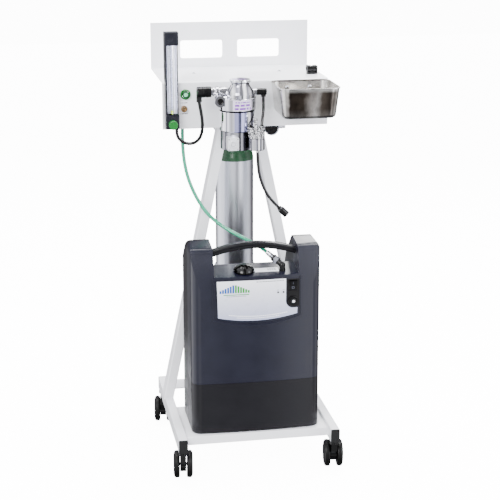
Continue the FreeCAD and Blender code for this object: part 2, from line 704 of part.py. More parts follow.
# ---- cylinder, valve and regulator -------------------------------------------------------------
def make_cylinder():
    r = cylinder_radius
    top = cylinder_shoulder
    profile = [(0, cylinder_base), (r - 6, cylinder_base), (r - 1.8, cylinder_base + 1.8),
               (r, cylinder_base + 6), (r, top)]
    steps = 7
    neck = 19.0
    for k in range(1, steps + 1):
        angle = math.radians(90 * k / steps)
        profile.append((neck + (r - neck) * math.cos(angle),
                        top + (cylinder_top - 12 - top) * math.sin(angle)))
    profile += [(neck, cylinder_top), (0, cylinder_top)]
    wall = cylinder_wall
    inside = [(0, cylinder_base + wall), (r - wall - 6, cylinder_base + wall),
              (r - wall, cylinder_base + wall + 6), (r - wall, top)]
    for k in range(1, steps):
        angle = math.radians(90 * k / steps)
        inside.append((cylinder_bore + (r - wall - cylinder_bore) * math.cos(angle),
                       top + (cylinder_top - 26 - top) * math.sin(angle)))
    inside += [(cylinder_bore, cylinder_top - 26), (cylinder_bore, cylinder_top + 1), (0, cylinder_top + 1)]
    save("oxygen_cylinder", turned(profile, (0, cylinder_y, 0)).cut(turned(inside, (0, cylinder_y, 0))))
    z = cylinder_top
    collar = rod(17, 8, (0, cylinder_y, z))
    post = rounded_block(-11, 11, cylinder_y - 13, cylinder_y + 13, z + 8, z + 60, 3, (0, 0, 1))
    gland = rod(8, 8, (0, cylinder_y, z + 60))
    well = rod(4 + running_clearance, 14, (0, cylinder_y, z + 54))
    save("cylinder_valve", fused(collar, post, gland).cut(well))
    save("valve_spindle", fused(rod(4, 13, (0, cylinder_y, z + 55)),
                                block(-3.2, 3.2, cylinder_y - 3.2, cylinder_y + 3.2, z + 68, z + 78)))


def make_regulator():
    z = 909.0
    y = cylinder_y
    gauge_y = 133.5
    yoke = block(-34, 30, y - 20, y + 20, z - 13,
                 z + 13).cut(block(-24, 20, y - 14, y + 14, z - 14, z + 14))
    pad = rod(8, 9, (11.2, y, z), (1, 0, 0))
    body = rod(16, 62, (30, y, z), (1, 0, 0))
    bonnet = turned([(0, 0), (19, 0), (19, 12), (15, 16), (0, 16)], (66, y, z), (1, 0, 0))
    neck = rod(10, 34, (80, y, z), (1, 0, 0))
    stem = rod(6, y - gauge_y - 10, (101, gauge_y + 10, z), (0, 1, 0))
    nipple = turned([(0, 0), (7, 0), (7, 14), (4.5, 14), (5.5, 22), (4.5, 22), (5.5, 30), (4.5, 30),
                     (4.5, 40), (0, 40)],
                    (110, y, z - 6), (1, 0, 0))
    thread = rod(6 + running_clearance, 20, (-40, y, z), (1, 0, 0))
    save("regulator", fused(yoke, pad, body, bonnet, neck, stem, nipple).cut(thread))
    r = gauge_diameter / 2
    profile = [(0, 0), (r - 2, 0), (r, 2), (r, 17), (r - 2, 19), (r - 3, 19), (r - 3, 17.4), (0, 17.4)]
    save("pressure_gauge", turned(profile, (101, gauge_y + 10, z), (0, -1, 0)))
    screw = rod(6, 42, (-53, y, z), (1, 0, 0))
    bar = rounded(block(-62, -52, y - 26, y + 26, z - 5, z + 5), 3, along((0, 1, 0)))
    save("yoke_screw", fused(screw, bar))


# ---- vaporiser and gas circuit -----------------------------------------------------------------
elbow_z = 1054.0
elbow_y = -86.5
right_elbow_x = 21.0
right_elbow_y = -66.5
right_elbow_z = 1047.5
manifold_x = 6.6
manifold_y = -148.5
manifold_radius = 21.5
filler_x = -56.0
filler_width = 30.0
dial_z = 1079.0


def make_vaporiser():
    x = vaporiser_x
    y = vaporiser_y
    body_x = vaporiser_body_x
    body_y = vaporiser_body_y
    r = vaporiser_radius
    cap = vaporiser_cap_radius
    z = vaporiser_bottom
    foot = r - 3
    body = turned([(0, z), (foot - 1, z), (foot, z + 1), (foot, 950), (r, 953), (r, 1004), (r - 2, 1006),
                   (r - 2, 1008), (r + 2, 1008), (r + 2, 1039), (r + 1, 1040), (0, 1040)],
                  (body_x, body_y, 0))
    top = turned([(0, 1038), (cap, 1038), (cap, 1050), (cap - 3, 1056), (cap - 12, 1070),
                  (cap - 14, 1074), (cap - 14, dial_z - 0.5), (0, dial_z - 0.5)], (x, y, 0))
    port_x = body_x - r - 2
    port = rod(15, 24, (port_x, y - 28, 1033), (0, 1, 0))
    port_hole = rod(8.5, 14, (port_x, y - 28, 1033), (0, 1, 0))
    arm = rod(12, 40, (port_x, y - 8, 1033), (1, 0, 0))
    steps = [(0, 0), (9, 0), (9, 3), (12.5, 4), (12.5, 8), (9.5, 9), (9.5, 12), (13.5, 13), (13.5, 20),
             (10.5, 21.5), (10.5, 25), (12.5, 26), (12.5, 42), (0, 42)]
    inlet = turned(steps, (-106, elbow_y, elbow_z), (1, 0, 0))
    outlet = rod(9, right_elbow_x - x - 20, (x + 20, right_elbow_y, right_elbow_z), (1, 0, 0))
    spindle_hole = rod(6 + running_clearance, 20, (x, y, dial_z - 16))
    whole = fused(body, top, port, arm, inlet, outlet).cut(port_hole).cut(spindle_hole)
    save("vaporiser_body", whole)
    dial = turned([(0, dial_z), (25, dial_z), (29, dial_z + 3), (29, dial_z + 7), (27.5, dial_z + 8.5),
                   (0, dial_z + 8.5)], (x, y, 0))
    save("vaporiser_dial", fused(dial, rod(6, 14, (x, y, dial_z - 14))))
    back = body_y - math.sqrt(foot ** 2 - (filler_x - body_x) ** 2)
    half = filler_width / 2
    cup = rounded_block(filler_x - half, filler_x + half, manifold_y, back + 14, 905, 940, 3, (0, 1, 0))
    cup = cup.cut(rod(foot + 0.05, 60, (body_x, body_y, 900)))
    boss = ring(9.5, 6.5, 5, (filler_x - 1, manifold_y - 5, 923), (0, 1, 0))
    plug = rod(5, 6, (filler_x - 1, manifold_y - 6, 923), (0, 1, 0))
    save("filler_block", fused(cup, boss, plug))
    reach = block(body_x - 20, body_x + 20, body_y + 20, panel_front, 956, 1000)
    flange = rounded_block(body_x - 32, body_x + 32, panel_front - 5, panel_front, 950, 1004, 4,
                           (0, 1, 0))
    save("vaporiser_mount", fused(reach, flange).cut(rod(r + 0.05, 140, (body_x, body_y, 900))))


def make_gas_fittings():
    left = rounded(rod(14.5, 38, (-144, elbow_y, elbow_z), (1, 0, 0)), 3,
                   lambda e: e.CenterOfMass.x < -143)
    drop = rod(7.5, 20, (-137.8, elbow_y, 1028), (0, 0, 1))
    left = fused(left, drop)
    right = rounded(rod(9, 28, (right_elbow_x, right_elbow_y, right_elbow_z), (1, 0, 0)), 3,
                    lambda e: e.CenterOfMass.x > 40)
    spout = rod(6.5, 12, (40, right_elbow_y, right_elbow_z - 14), (0, 0, 1))
    save("gas_elbows", left, fused(right, spout))
    x = manifold_x
    y = manifold_y
    r = manifold_radius
    lower = turned([(0, 906), (r - 2, 906), (r, 908), (r, 936), (r - 1.5, 938), (0, 938)], (x, y, 0))
    grip = rod(r + 0.5, 29, (x, y, 938))
    flutes = [rod(1.5, 40, (x + (r + 1.2) * math.cos(a), y + (r + 1.2) * math.sin(a), 934))
              for a in (math.radians(15 * k) for k in range(24))]
    grip = grip.cut(Part.makeCompound(flutes))
    neck = rod(9, 4, (x, y, 966))
    inlet = rod(6.5, 9, (22, y + 7.5, 961))
    pipe = rod(6, 22, (x - 4, y, 969))
    barb = rod(3.8, 8, (x + 2, y, 899))
    save("outlet_manifold", fused(lower, grip, neck, inlet, pipe, barb))


# ---- flowmeter and flush button ----------------------------------------------------------------
flowmeter_knob_z = 964.0
tube_low = 989.0
tube_high = 1175.0


def make_flowmeter():
    x = flowmeter_x
    half = flowmeter_width / 2
    y0 = flowmeter_front
    tube_half = 13.5
    tube_depth = 19.0
    bore_y = y0 + 9.5
    body = rounded_block(x - half, x + half, y0, panel_front, flowmeter_bottom, flowmeter_top, 2,
                         (0, 0, 1))
    slot = block(x - tube_half, x + tube_half + 8, y0 - 5, y0 + tube_depth, tube_low, tube_high)
    body = body.cut(slot)
    barb = rod(3.8, 9, (x + 12, y0 + 15, flowmeter_bottom - 9))
    needle = rod(3 + running_clearance, 20, (x, y0 - 1, flowmeter_knob_z), (0, 1, 0))
    save("flowmeter_block", fused(body, barb).cut(needle))
    tube = rounded_block(x - tube_half, x + tube_half, y0 + 0.5, y0 + tube_depth, tube_low, tube_high, 3,
                         (0, 0, 1))
    bore = rod(float_diameter / 2 + moving_gap, tube_high - tube_low, (x, bore_y, tube_low))
    save("flowmeter_tube", tube.cut(bore))
    float_r = float_diameter / 2
    save("flowmeter_float", turned([(0, 0.4), (float_r - 1.5, 0.4), (float_r - 0.6, 7), (float_r, 9),
                                    (float_r, 11), (0, 11)],
                                   (x, bore_y, tube_low)))
    knob = rod(12, 19, (x, y0 - 20, flowmeter_knob_z), (0, 1, 0))
    knob = rounded(knob, 2, lambda e: e.CenterOfMass.y < y0 - 19)
    grips = Part.makeCompound([rod(1.2, 16, (x + 12.6 * math.cos(a), y0 - 17,
                                             flowmeter_knob_z + 12.6 * math.sin(a)), (0, 1, 0))
                               for a in (math.radians(20 * k) for k in range(18))])
    stem = rod(3, 16, (x, y0 - 1.5, flowmeter_knob_z), (0, 1, 0))
    save("flowmeter_knob", fused(knob.cut(grips), stem))


def make_flush():
    y = panel_front
    bezel = turned([(flush_bore, 0), (14, 0), (14, 4), (12.5, 6), (flush_bore, 6)],
                   (flush_x, y, flush_z), (0, -1, 0))
    save("flush_bezel", bezel)
    button = rod(flush_bore - moving_gap, 8, (flush_x, y - 9, flush_z), (0, 1, 0))
    save("flush_button", rounded(button, 1.5, lambda e: e.CenterOfMass.y < y - 8))
    fitting = turned([(0, 0), (9, 0), (9, 3), (7.5, 3), (7.5, 10), (5, 10), (5, 2), (0, 2)],
                     (-170, y, 999), (0, -1, 0))
    back = panel_front + sheet
    rear = rod(7, 24.5, (-172, back, 962), (0, 1, 0))
    rear = fused(rear, Part.makeSphere(8, V(-172, 2, 962)), rod(6.5, 14, (-172, 2, 948)))
    save("aux_fitting", fitting, rear)


# ---- tray, clip and screws ---------------------------------------------------------------------
def rounded_outline(width, length, radius, centre_x, centre_y, z):
    """A rectangle with rounded corners, as a wire."""
    half_w = width / 2
    half_l = length / 2
    edges = []
    corners = ((1, -1, 270), (1, 1, 0), (-1, 1, 90), (-1, -1, 180))
    ends = []
    for sx, sy, start in corners:
        cx = centre_x + sx * (half_w - radius)
        cy = centre_y + sy * (half_l - radius)
        arc = Part.Arc(Part.Circle(V(cx, cy, z), V(0, 0, 1), radius), math.radians(start),
                       math.radians(start + 90))
        ends.append((arc.StartPoint, arc.EndPoint))
        edges.append(arc.toShape())
    sides = [Part.LineSegment(ends[k][1], ends[(k + 1) % 4][0]).toShape() for k in range(4)]
    ordered = [edge for pair in zip(edges, sides) for edge in pair]
    return Part.Wire(ordered)


tray_y = panel_front - 2.5 - tray_length / 2
tray_bolt_xs = (113.0, 176.0)
tray_bolt_z = 1050.0


def make_tray():
    low = tray_rim_z - tray_depth

    def pan(inset, bottom, top):
        upper = rounded_outline(tray_width - 2 * inset, tray_length - 2 * inset, 24 - inset, tray_x,
                                tray_y, top)
        lower = rounded_outline(tray_width - 2 * (tray_taper + inset),
                                tray_length - 2 * (tray_taper + inset),
                                20 - inset, tray_x, tray_y, bottom)
        return Part.makeLoft([lower, upper], True, True)

    outer = rounded(pan(0, low, tray_rim_z), 12, lambda e: abs(e.CenterOfMass.z - low) < 0.1)
    inner = rounded(pan(tray_wall, low + tray_wall, tray_rim_z + 0.01), 11,
                    lambda e: abs(e.CenterOfMass.z - low - tray_wall) < 0.1)
    rim_outer = Part.Face(rounded_outline(tray_width + 3, tray_length + 3, 25.5, tray_x, tray_y,
                                          tray_rim_z - 3)).extrude(V(0, 0, 3))
    pan_solid = fused(outer, rim_outer).cut(inner).cut(
        Part.Face(rounded_outline(tray_width - 2 * tray_wall, tray_length - 2 * tray_wall,
                                  24 - tray_wall, tray_x, tray_y, tray_rim_z - 4)).extrude(V(0, 0, 8)))
    for x in tray_bolt_xs:
        pan_solid = pan_solid.cut(rod(3.1, 30, (x, panel_front - 20, tray_bolt_z), (0, 1, 0)))
    save("instrument_tray", pan_solid)


def make_screws():
    pieces = []
    for x in tray_bolt_xs:
        wall_y = tray_y + tray_length / 2 - (tray_rim_z - tray_bolt_z) / tray_depth * tray_taper
        seat_y = wall_y - tray_wall - 1.2
        head = turned([(0, 0), (6, 0), (6, 1.5), (3.5, 4), (0, 4)], (x, seat_y, tray_bolt_z), (0, -1, 0))
        shank = rod(3, panel_front - seat_y, (x, seat_y, tray_bolt_z), (0, 1, 0))
        pieces.append(fused(head, shank))
    for x in (-122.0, 122.0):
        pieces.append(turned([(0, 0), (5, 0), (4, 2), (2, 3), (0, 3)], (x, 125.0, shelf_top)))
    for x, z in case_screw_spots:
        pieces.append(fused(rod(3.1, 14, (x, case_back_y - 14, z), (0, 1, 0)),
                            turned([(0, 0), (5.5, 0), (4.5, 2), (0, 2.6)], (x, case_back_y, z),
                                   (0, 1, 0))))
    save("screws", *pieces)


def make_clip():
    x = 202.0
    y = 62.0
    z = shelf_top
    base = rounded_block(x - 15, x + 15, y - 10, y + 10, z, z + 4.8, 3, (0, 0, 1))
    post = block(x - 6, x + 6, y - 7, y + 7, z + 4, z + 8)
    grip = fused(ring(10.5, 6.5, 13, (x - 15, y, z + 14.5), (1, 0, 0)),
                 ring(9, 6.5, 6, (x - 3, y, z + 14.5), (1, 0, 0)),
                 ring(10.5, 6.5, 13, (x + 2, y, z + 14.5), (1, 0, 0)))
    grip = grip.cut(block(x - 20, x + 20, y - 5, y + 5, z + 17, z + 30))
    save("hose_clip", fused(base, post, grip))


# ---- hoses -------------------------------------------------------------------------------------
def make_hoses():
    hose("supply_hose", supply_route, hose_diameter)
    hose("flowmeter_hose", flowmeter_route, loop_hose_diameter)
    hose("link_hose", link_route, thin_hose_diameter)
    hose("patient_hose", patient_route, thin_hose_diameter)
    end = V(*patient_route[-1])
    axis = (end - V(*patient_route[-2])).normalize()
    start = end - axis * 1.0
    profile = [(4.05, 0), (6.5, 0), (6.5, 4), (8.8, 6.5), (9.5, 12), (9.5, 30), (7.5, 30), (7.5, 8),
               (4.05, 8)]
    save("hose_connector", turned(profile, tuple(start), tuple(axis)))


supply_route = [
    (-172, 2, 952), (-173, 1, 916), (-171.5, 3, 882), (-168, 4, 846), (-160, 4, 806),
    (-146, 2, 766), (-127, -5, 728), (-104, -16, 696), (-74, -31, 671), (-42, -51, 653),
    (-11, -76, 640), (13, -98, 630), (32, -118, 620.5), (48.6, -135.3, 607.1),
]
flowmeter_route = [
    (-193.5, -41.5, 949), (-193.5, -42, 933), (-186.5, -43.5, 919), (-173.5, -46.5, 910),
    (-157, -50.5, 907.5), (-142, -56, 913.5), (-131.5, -63, 928), (-127.5, -70.5, 949),
    (-128, -77.5, 974), (-132.5, -83, 1001), (-137.8, -86.5, 1028),
]
link_route = [
    (40, -66.5, 1033), (40, -68, 1017), (38.5, -77, 1001.5), (34.5, -93, 990.5), (29.5, -111, 984),
    (25, -128, 977), (22, -141, 968.5),
]
patient_route = [
    (8.6, -148.5, 899), (9.5, -149, 870), (12.5, -150, 842), (19.5, -151.5, 815), (32, -153, 787),
    (49.5, -154.5, 763), (67, -156, 746),
]

if __name__ == "__main__":
    os.makedirs("parts", exist_ok=True)
    make_rails()
    make_rail_caps()
    make_platform()
    make_cylinder_seat()
    make_uprights()
    make_cylinder_bracket()
    make_top_panel()
    make_casters()
    make_case()
    make_handle()
    make_labels()
    make_switches()
    make_deck_fittings()
    make_inside()
    make_rear_fittings()
    make_cylinder()
    make_regulator()
    make_vaporiser()
    make_gas_fittings()
    make_flowmeter()
    make_flush()
    make_tray()
    make_screws()
    make_clip()
    make_hoses()
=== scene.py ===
import math

import bmesh
import bpy
from mathutils import Matrix, Vector
from mathutils.bvhtree import BVHTree


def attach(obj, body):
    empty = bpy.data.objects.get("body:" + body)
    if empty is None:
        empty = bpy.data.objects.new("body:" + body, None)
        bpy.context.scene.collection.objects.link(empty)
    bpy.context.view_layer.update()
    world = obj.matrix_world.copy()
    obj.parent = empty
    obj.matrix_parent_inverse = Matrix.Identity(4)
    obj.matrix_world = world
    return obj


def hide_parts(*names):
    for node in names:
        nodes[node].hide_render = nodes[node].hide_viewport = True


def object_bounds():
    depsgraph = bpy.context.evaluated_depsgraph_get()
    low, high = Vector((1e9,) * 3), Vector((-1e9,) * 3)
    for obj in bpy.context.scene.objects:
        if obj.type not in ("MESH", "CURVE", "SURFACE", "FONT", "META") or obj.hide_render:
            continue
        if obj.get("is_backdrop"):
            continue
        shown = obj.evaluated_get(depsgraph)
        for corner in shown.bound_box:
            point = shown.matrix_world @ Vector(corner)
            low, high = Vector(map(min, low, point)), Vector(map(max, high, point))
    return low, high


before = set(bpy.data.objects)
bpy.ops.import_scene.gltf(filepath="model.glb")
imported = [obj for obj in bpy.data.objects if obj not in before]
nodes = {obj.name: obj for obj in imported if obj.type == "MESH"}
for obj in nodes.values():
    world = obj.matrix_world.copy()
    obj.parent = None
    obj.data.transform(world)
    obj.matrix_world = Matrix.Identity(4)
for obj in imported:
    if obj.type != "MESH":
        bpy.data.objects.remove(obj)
cad_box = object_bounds()

# ---- studio --------------------------------------------------------------------------------------
# A lit white floor under a large soft key from the front left, a weaker fill from the right and a long
# strip above. Bright metal needs something dark to reflect, so the surroundings that only reflections
# see are upright cards, dark and white, under a ceiling with two soft boxes.
camera_place = (-0.65008, -3.68434, 1.66237)
camera_data = bpy.data.cameras.new("camera")
camera_data.lens = 99.07
camera_data.sensor_width = 36
camera = bpy.data.objects.new("camera", camera_data)
azimuth, elevation = math.radians(-10.24), math.radians(16.05)
back = Vector((math.sin(azimuth) * math.cos(elevation), -math.cos(azimuth) * math.cos(elevation),
               math.sin(elevation)))
turn = back.to_track_quat("Z", "Y").to_matrix().to_4x4()
camera.matrix_world = Matrix.Translation(camera_place) @ turn
bpy.context.scene.collection.objects.link(camera)
bpy.context.scene.camera = camera


def linear(code):
    """An sRGB hex value as a linear colour."""
    parts = [int(code[k:k + 2], 16) / 255 for k in (1, 3, 5)]
    return tuple(c / 12.92 if c <= 0.04045 else ((c + 0.055) / 1.055) ** 2.4 for c in parts) + (1.0,)


def add(tree, kind, settings=None, links=None):
    """Adds a node: settings name its own choices or its sockets, links join outputs to its sockets."""
    made = tree.nodes.new(kind)
    for name, value in (settings or {}).items():
        if isinstance(name, int) or name in made.inputs:
            made.inputs[name].default_value = value
        else:
            setattr(made, name, value)
    for name, source in (links or {}).items():
        tree.links.new(source, made.inputs[name])
    return made


def begin(name, colour, roughness, metallic=0.0, **more):
    """A new material: its tree, its shader and the position on the piece in metres."""
    material = bpy.data.materials.new(name)
    material.use_nodes = True
    tree = material.node_tree
    shader = tree.nodes["Principled BSDF"]
    shader.inputs["Base Color"].default_value = linear(colour)
    shader.inputs["Roughness"].default_value = roughness
    shader.inputs["Metallic"].default_value = metallic
    for socket, value in more.items():
        shader.inputs[socket.replace("_", " ")].default_value = value
    place = add(tree, "ShaderNodeTexCoord").outputs["Object"]
    return material, tree, shader, place


def blended(tree, factor, low, high):
    """A colour between two, by a factor; each may be a hex value or an output."""
    mix = add(tree, "ShaderNodeMix", {"data_type": "RGBA"}, {0: factor})
    for socket, value in ((6, low), (7, high)):
        if isinstance(value, str):
            mix.inputs[socket].default_value = linear(value)
        else:
            tree.links.new(value, mix.inputs[socket])
    return mix.outputs[2]


def banded(tree, value, low, high, stops):
    """A colour that changes with a value through (share of the range, hex value or grey level) stops."""
    spread = add(tree, "ShaderNodeMapRange", {"From Min": low, "From Max": high}, {"Value": value})
    ramp = add(tree, "ShaderNodeValToRGB", links={0: spread.outputs[0]})
    for index, (at, tone) in enumerate(stops):
        stop = ramp.color_ramp.elements[index] if index < 2 else ramp.color_ramp.elements.new(at)
        stop.position = at
        stop.color = linear(tone) if isinstance(tone, str) else (tone, tone, tone * 1.04, 1.0)
    return ramp.outputs["Color"]


def mottled(tree, shader, place, millimetres, low, high, socket="Roughness"):
    """Spreads a value softly between two over patches of the given size, as handling and wiping do."""
    noise = add(tree, "ShaderNodeTexNoise", {"Scale": 1000.0 / millimetres, "Detail": 4.0}, {"Vector": place})
    spread = add(tree, "ShaderNodeMapRange",
                 {"From Min": 0.3, "From Max": 0.7, "To Min": low, "To Max": high},
                 {"Value": noise.outputs["Fac"]})
    tree.links.new(spread.outputs[0], shader.inputs[socket])
    return noise.outputs["Fac"]


def settle(bm, name, material, body="stand", smooth=0.6):
    """Makes an object from a bmesh, shades it smooth up to an angle, and lets it ride on a body."""
    bmesh.ops.recalc_face_normals(bm, faces=bm.faces)
    mesh = bpy.data.meshes.new(name)
    bm.to_mesh(mesh)
    bm.free()
    for face in mesh.polygons:
        face.use_smooth = True
    mesh.set_sharp_from_angle(angle=smooth)
    mesh.materials.append(material)
    piece = bpy.data.objects.new(name, mesh)
    bpy.context.scene.collection.objects.link(piece)
    if body:
        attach(piece, body)
    return piece


floor_mesh = bmesh.new()
bmesh.ops.create_grid(floor_mesh, x_segments=1, y_segments=1, size=9.0)
floor_paint, tree, shader, place = begin("lit_white_floor", "#fbfbfb", 0.55, Specular_IOR_Level=0.1,
                                         Emission_Strength=12.0)
shader.inputs["Emission Color"].default_value = linear("#ffffff")
mottled(tree, shader, place, 400.0, 0.5, 0.6)
floor = settle(floor_mesh, "floor", floor_paint, body=None)
floor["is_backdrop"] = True
floor.visible_glossy = False
floor.visible_diffuse = False

world = bpy.data.worlds.new("studio")
bpy.context.scene.world = world
world.use_nodes = True
tree = world.node_tree
surroundings = tree.nodes["Background"]
around = add(tree, "ShaderNodeTexCoord").outputs["Generated"]
split = add(tree, "ShaderNodeSeparateXYZ", links={0: around})
bearing = add(tree, "ShaderNodeMath", {"operation": "ARCTAN2"},
              {0: split.outputs["Y"], 1: split.outputs["X"]})
cards = banded(tree, bearing.outputs[0], -math.pi, math.pi, (
    (0.0, 0.7), (0.05, 0.9), (0.085, 0.45), (0.12, 0.3), (0.17, 0.55), (0.235, 0.6), (0.262, 0.1),
    (0.29, 0.06), (0.302, 1.0), (0.345, 1.0), (0.365, 0.3), (0.43, 0.35), (0.47, 0.6), (0.52, 0.3),
    (0.56, 0.05), (0.655, 0.04), (0.69, 0.15), (0.76, 0.12), (0.8, 0.05), (0.855, 0.05), (0.885, 0.7),
    (0.94, 1.0), (1.0, 0.7)))
ceiling = banded(tree, split.outputs["X"], -1.0, 1.0, (
    (0.0, 0.5), (0.2, 1.0), (0.4, 1.0), (0.46, 0.15), (0.62, 0.15), (0.68, 1.0), (0.85, 1.0), (1.0, 0.3)))
overhead = add(tree, "ShaderNodeMapRange", {"From Min": 0.32, "From Max": 0.55},
               {"Value": split.outputs["Z"]})
below = add(tree, "ShaderNodeMapRange", {"From Min": -0.45, "From Max": -0.75}, {"Value": split.outputs["Z"]})
room = blended(tree, below.outputs[0], blended(tree, overhead.outputs[0], cards, ceiling), "#55565a")
tree.links.new(room, surroundings.inputs["Color"])
surroundings.inputs["Strength"].default_value = 3.0
backdrop = add(tree, "ShaderNodeBackground", {"Color": linear("#ffffff"), "Strength": 13.0})
bounce = add(tree, "ShaderNodeBackground", {"Color": linear("#fbfcff"), "Strength": 1.7})
path = add(tree, "ShaderNodeLightPath")
soft = add(tree, "ShaderNodeMixShader", links={0: path.outputs["Is Diffuse Ray"],
                                               1: surroundings.outputs[0], 2: bounce.outputs[0]})
chosen = add(tree, "ShaderNodeMixShader", links={0: path.outputs["Is Camera Ray"], 1: soft.outputs[0],
                                                 2: backdrop.outputs[0]})
tree.links.new(chosen.outputs[0], tree.nodes["World Output"].inputs["Surface"])

for name, at, aim, size, power, colour in (
        ("key", (-1.7, -2.6, 2.6), (0, 0, 0.7), (1.5, 1.9), 150, "#ffffff"),
        ("fill", (2.3, -1.9, 1.5), (0, 0, 0.6), (1.2, 2.0), 60, "#f4f7ff"),
        ("strip", (0.1, 0.4, 3.0), (0, 0, 0.5), (2.4, 0.9), 110, "#ffffff"),
        ("rim", (1.2, 2.4, 2.2), (0, 0, 0.7), (1.2, 1.2), 60, "#ffffff")):
    light = bpy.data.lights.new(name, "AREA")
    light.shape = "RECTANGLE"
    light.size, light.size_y = size
    light.energy = power
    light.color = linear(colour)[:3]
    lamp = bpy.data.objects.new(name, light)
    turn = (Vector(at) - Vector(aim)).to_track_quat("Z", "Y").to_matrix().to_4x4()
    lamp.matrix_world = Matrix.Translation(at) @ turn
    bpy.context.scene.collection.objects.link(lamp)

# ---- hoses ---------------------------------------------------------------------------------------
# Low-pressure gas hoses. The oxygen supply is extruded green PVC, slightly see-through; the other
# three are black rubber tubes with a smooth cured skin. Each is cut to length and pushed over its
# fittings, and hangs in the curve its own stiffness gives.
green_pvc, tree, shader, place = begin("green_pvc_tube", "#1f9a76", 0.22, IOR=1.53, Subsurface_Weight=0.15,
                                       Coat_Weight=0.3, Coat_Roughness=0.12)
shader.inputs["Subsurface Radius"].default_value = (0.003, 0.006, 0.005)
shade = mottled(tree, shader, place, 30.0, 0.18, 0.3)
tree.links.new(blended(tree, shade, "#158a66", "#2fa884"), shader.inputs["Base Color"])


def grain(tree, shader, place, millimetres, height, detail=3.0, stretch=None):
    """A fine bump whose grains are the given size apart."""
    if stretch:
        place = add(tree, "ShaderNodeMapping", {"Scale": stretch}, {"Vector": place}).outputs[0]
    noise = add(tree, "ShaderNodeTexNoise", {"Scale": 1000.0 / millimetres, "Detail": detail},
                {"Vector": place})
    bump = add(tree, "ShaderNodeBump", {"Strength": 1.0, "Distance": height / 1000.0},
               {"Height": noise.outputs["Fac"]})
    tree.links.new(bump.outputs["Normal"], shader.inputs["Normal"])


black_rubber, tree, shader, place = begin("cured_black_rubber", "#050506", 0.3, IOR=1.45,
                                          Specular_IOR_Level=0.4, Coat_Weight=0.15, Coat_Roughness=0.15)
grain(tree, shader, place, 1.4, 0.05)
shade = mottled(tree, shader, place, 18.0, 0.24, 0.42)
tree.links.new(blended(tree, shade, "#030303", "#060607"), shader.inputs["Base Color"])


def lay_hose(name, route, diameter, material, length, stiffness, **ends):
    """One hose along its route in millimetres, as a smooth spline with a round section."""
    curve = bpy.data.curves.new(name, "CURVE")
    curve.dimensions = "3D"
    line = curve.splines.new("NURBS")
    line.points.add(len(route) - 1)
    for spot, (x, y, z) in zip(line.points, route):
        spot.co = (x / 1000, y / 1000, z / 1000, 1.0)
    line.order_u = 3
    line.use_endpoint_u = True
    line.resolution_u = 12
    curve.bevel_depth = diameter / 2000
    curve.bevel_resolution = 5
    curve.use_fill_caps = True
    curve.materials.append(material)
    piece = bpy.data.objects.new(name + "_tube", curve)
    bpy.context.scene.collection.objects.link(piece)
    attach(piece, "stand")
    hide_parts(name)


lay_hose("supply_hose", [
    (-172, 2, 952), (-173, 1, 916), (-171.5, 3, 882), (-168, 4, 846), (-160, 4, 806),
    (-146, 2, 766), (-127, -5, 728), (-104, -16, 696), (-74, -31, 671), (-42, -51, 653),
    (-11, -76, 640), (13, -98, 630), (32, -118, 620.5), (48.6, -135.3, 607.1)],
    10.0, green_pvc, 0.488, "medium", far_end="object")
lay_hose("flowmeter_hose", [
    (-193.5, -41.5, 949), (-193.5, -42, 933), (-186.5, -43.5, 919), (-173.5, -46.5, 910),
    (-157, -50.5, 907.5), (-142, -56, 913.5), (-131.5, -63, 928), (-127.5, -70.5, 949),
    (-128, -77.5, 974), (-132.5, -83, 1001), (-137.8, -86.5, 1028)],
    9.0, black_rubber, 0.203, "limp", far_end="object")
lay_hose("link_hose", [
    (40, -66.5, 1033), (40, -68, 1017), (38.5, -77, 1001.5), (34.5, -93, 990.5), (29.5, -111, 984),
    (25, -128, 977), (22, -141, 968.5)],
    8.0, black_rubber, 0.108, "medium", far_end="object")
lay_hose("patient_hose", [
    (8.6, -148.5, 899), (9.5, -149, 870), (12.5, -150, 842), (19.5, -151.5, 815), (32, -153, 787),
    (49.5, -154.5, 763), (67, -156, 746)],
    8.0, black_rubber, 0.17, "medium", far_end="connector", with_pieces=[nodes["hose_connector"]])

# ---- stand ---------------------------------------------------------------------------------------
# Folded and tubular steel, welded and powder coated white. The coat has a faint orange peel about
# two millimetres across and a soft sheen; handling leaves it a little duller in patches.
powder_coat, tree, shader, place = begin("white_powder_coat", "#f3f4f6", 0.34, IOR=1.5, Coat_Weight=0.15,
                                         Coat_Roughness=0.25)
grain(tree, shader, place, 2.0, 0.03, detail=2.0)
shade = mottled(tree, shader, place, 60.0, 0.28, 0.42)
tree.links.new(blended(tree, shade, "#f3f4f9", "#fcfcff"), shader.inputs["Base Color"])


def wear(material, *names):
    """Gives CAD nodes a finish."""
    for name in names:
        mesh = nodes[name].data
        mesh.materials.clear()
        mesh.materials.append(material)


wear(powder_coat, "side_rails", "platform", "cylinder_seat", "uprights", "cylinder_bracket", "top_panel")

# ---- rail caps and casters -----------------------------------------------------------------------
# Moulded black nylon: glossy hoods and twin wheels, with plain pressed-in caps on the rails' ends.
caster_nylon, tree, shader, place = begin("glossy_black_nylon", "#020202", 0.2, IOR=1.4,
                                          Specular_IOR_Level=0.3, Coat_Weight=0.1, Coat_Roughness=0.06)
mottled(tree, shader, place, 12.0, 0.16, 0.34)
tread_rubber, tree, shader, place = begin("caster_tread", "#020202", 0.3, IOR=1.38, Specular_IOR_Level=0.3)
mottled(tree, shader, place, 9.0, 0.3, 0.5)
cap_plastic, tree, shader, place = begin("moulded_black_cap", "#070708", 0.45, IOR=1.42)
grain(tree, shader, place, 0.9, 0.03)
mottled(tree, shader, place, 20.0, 0.38, 0.55)
wear(cap_plastic, "rail_caps")
for end in ("front", "rear"):
    for side in ("left", "right"):
        wear(caster_nylon, "caster_swivel_" + end + "_" + side)
        wear(tread_rubber, "caster_wheels_" + end + "_" + side)

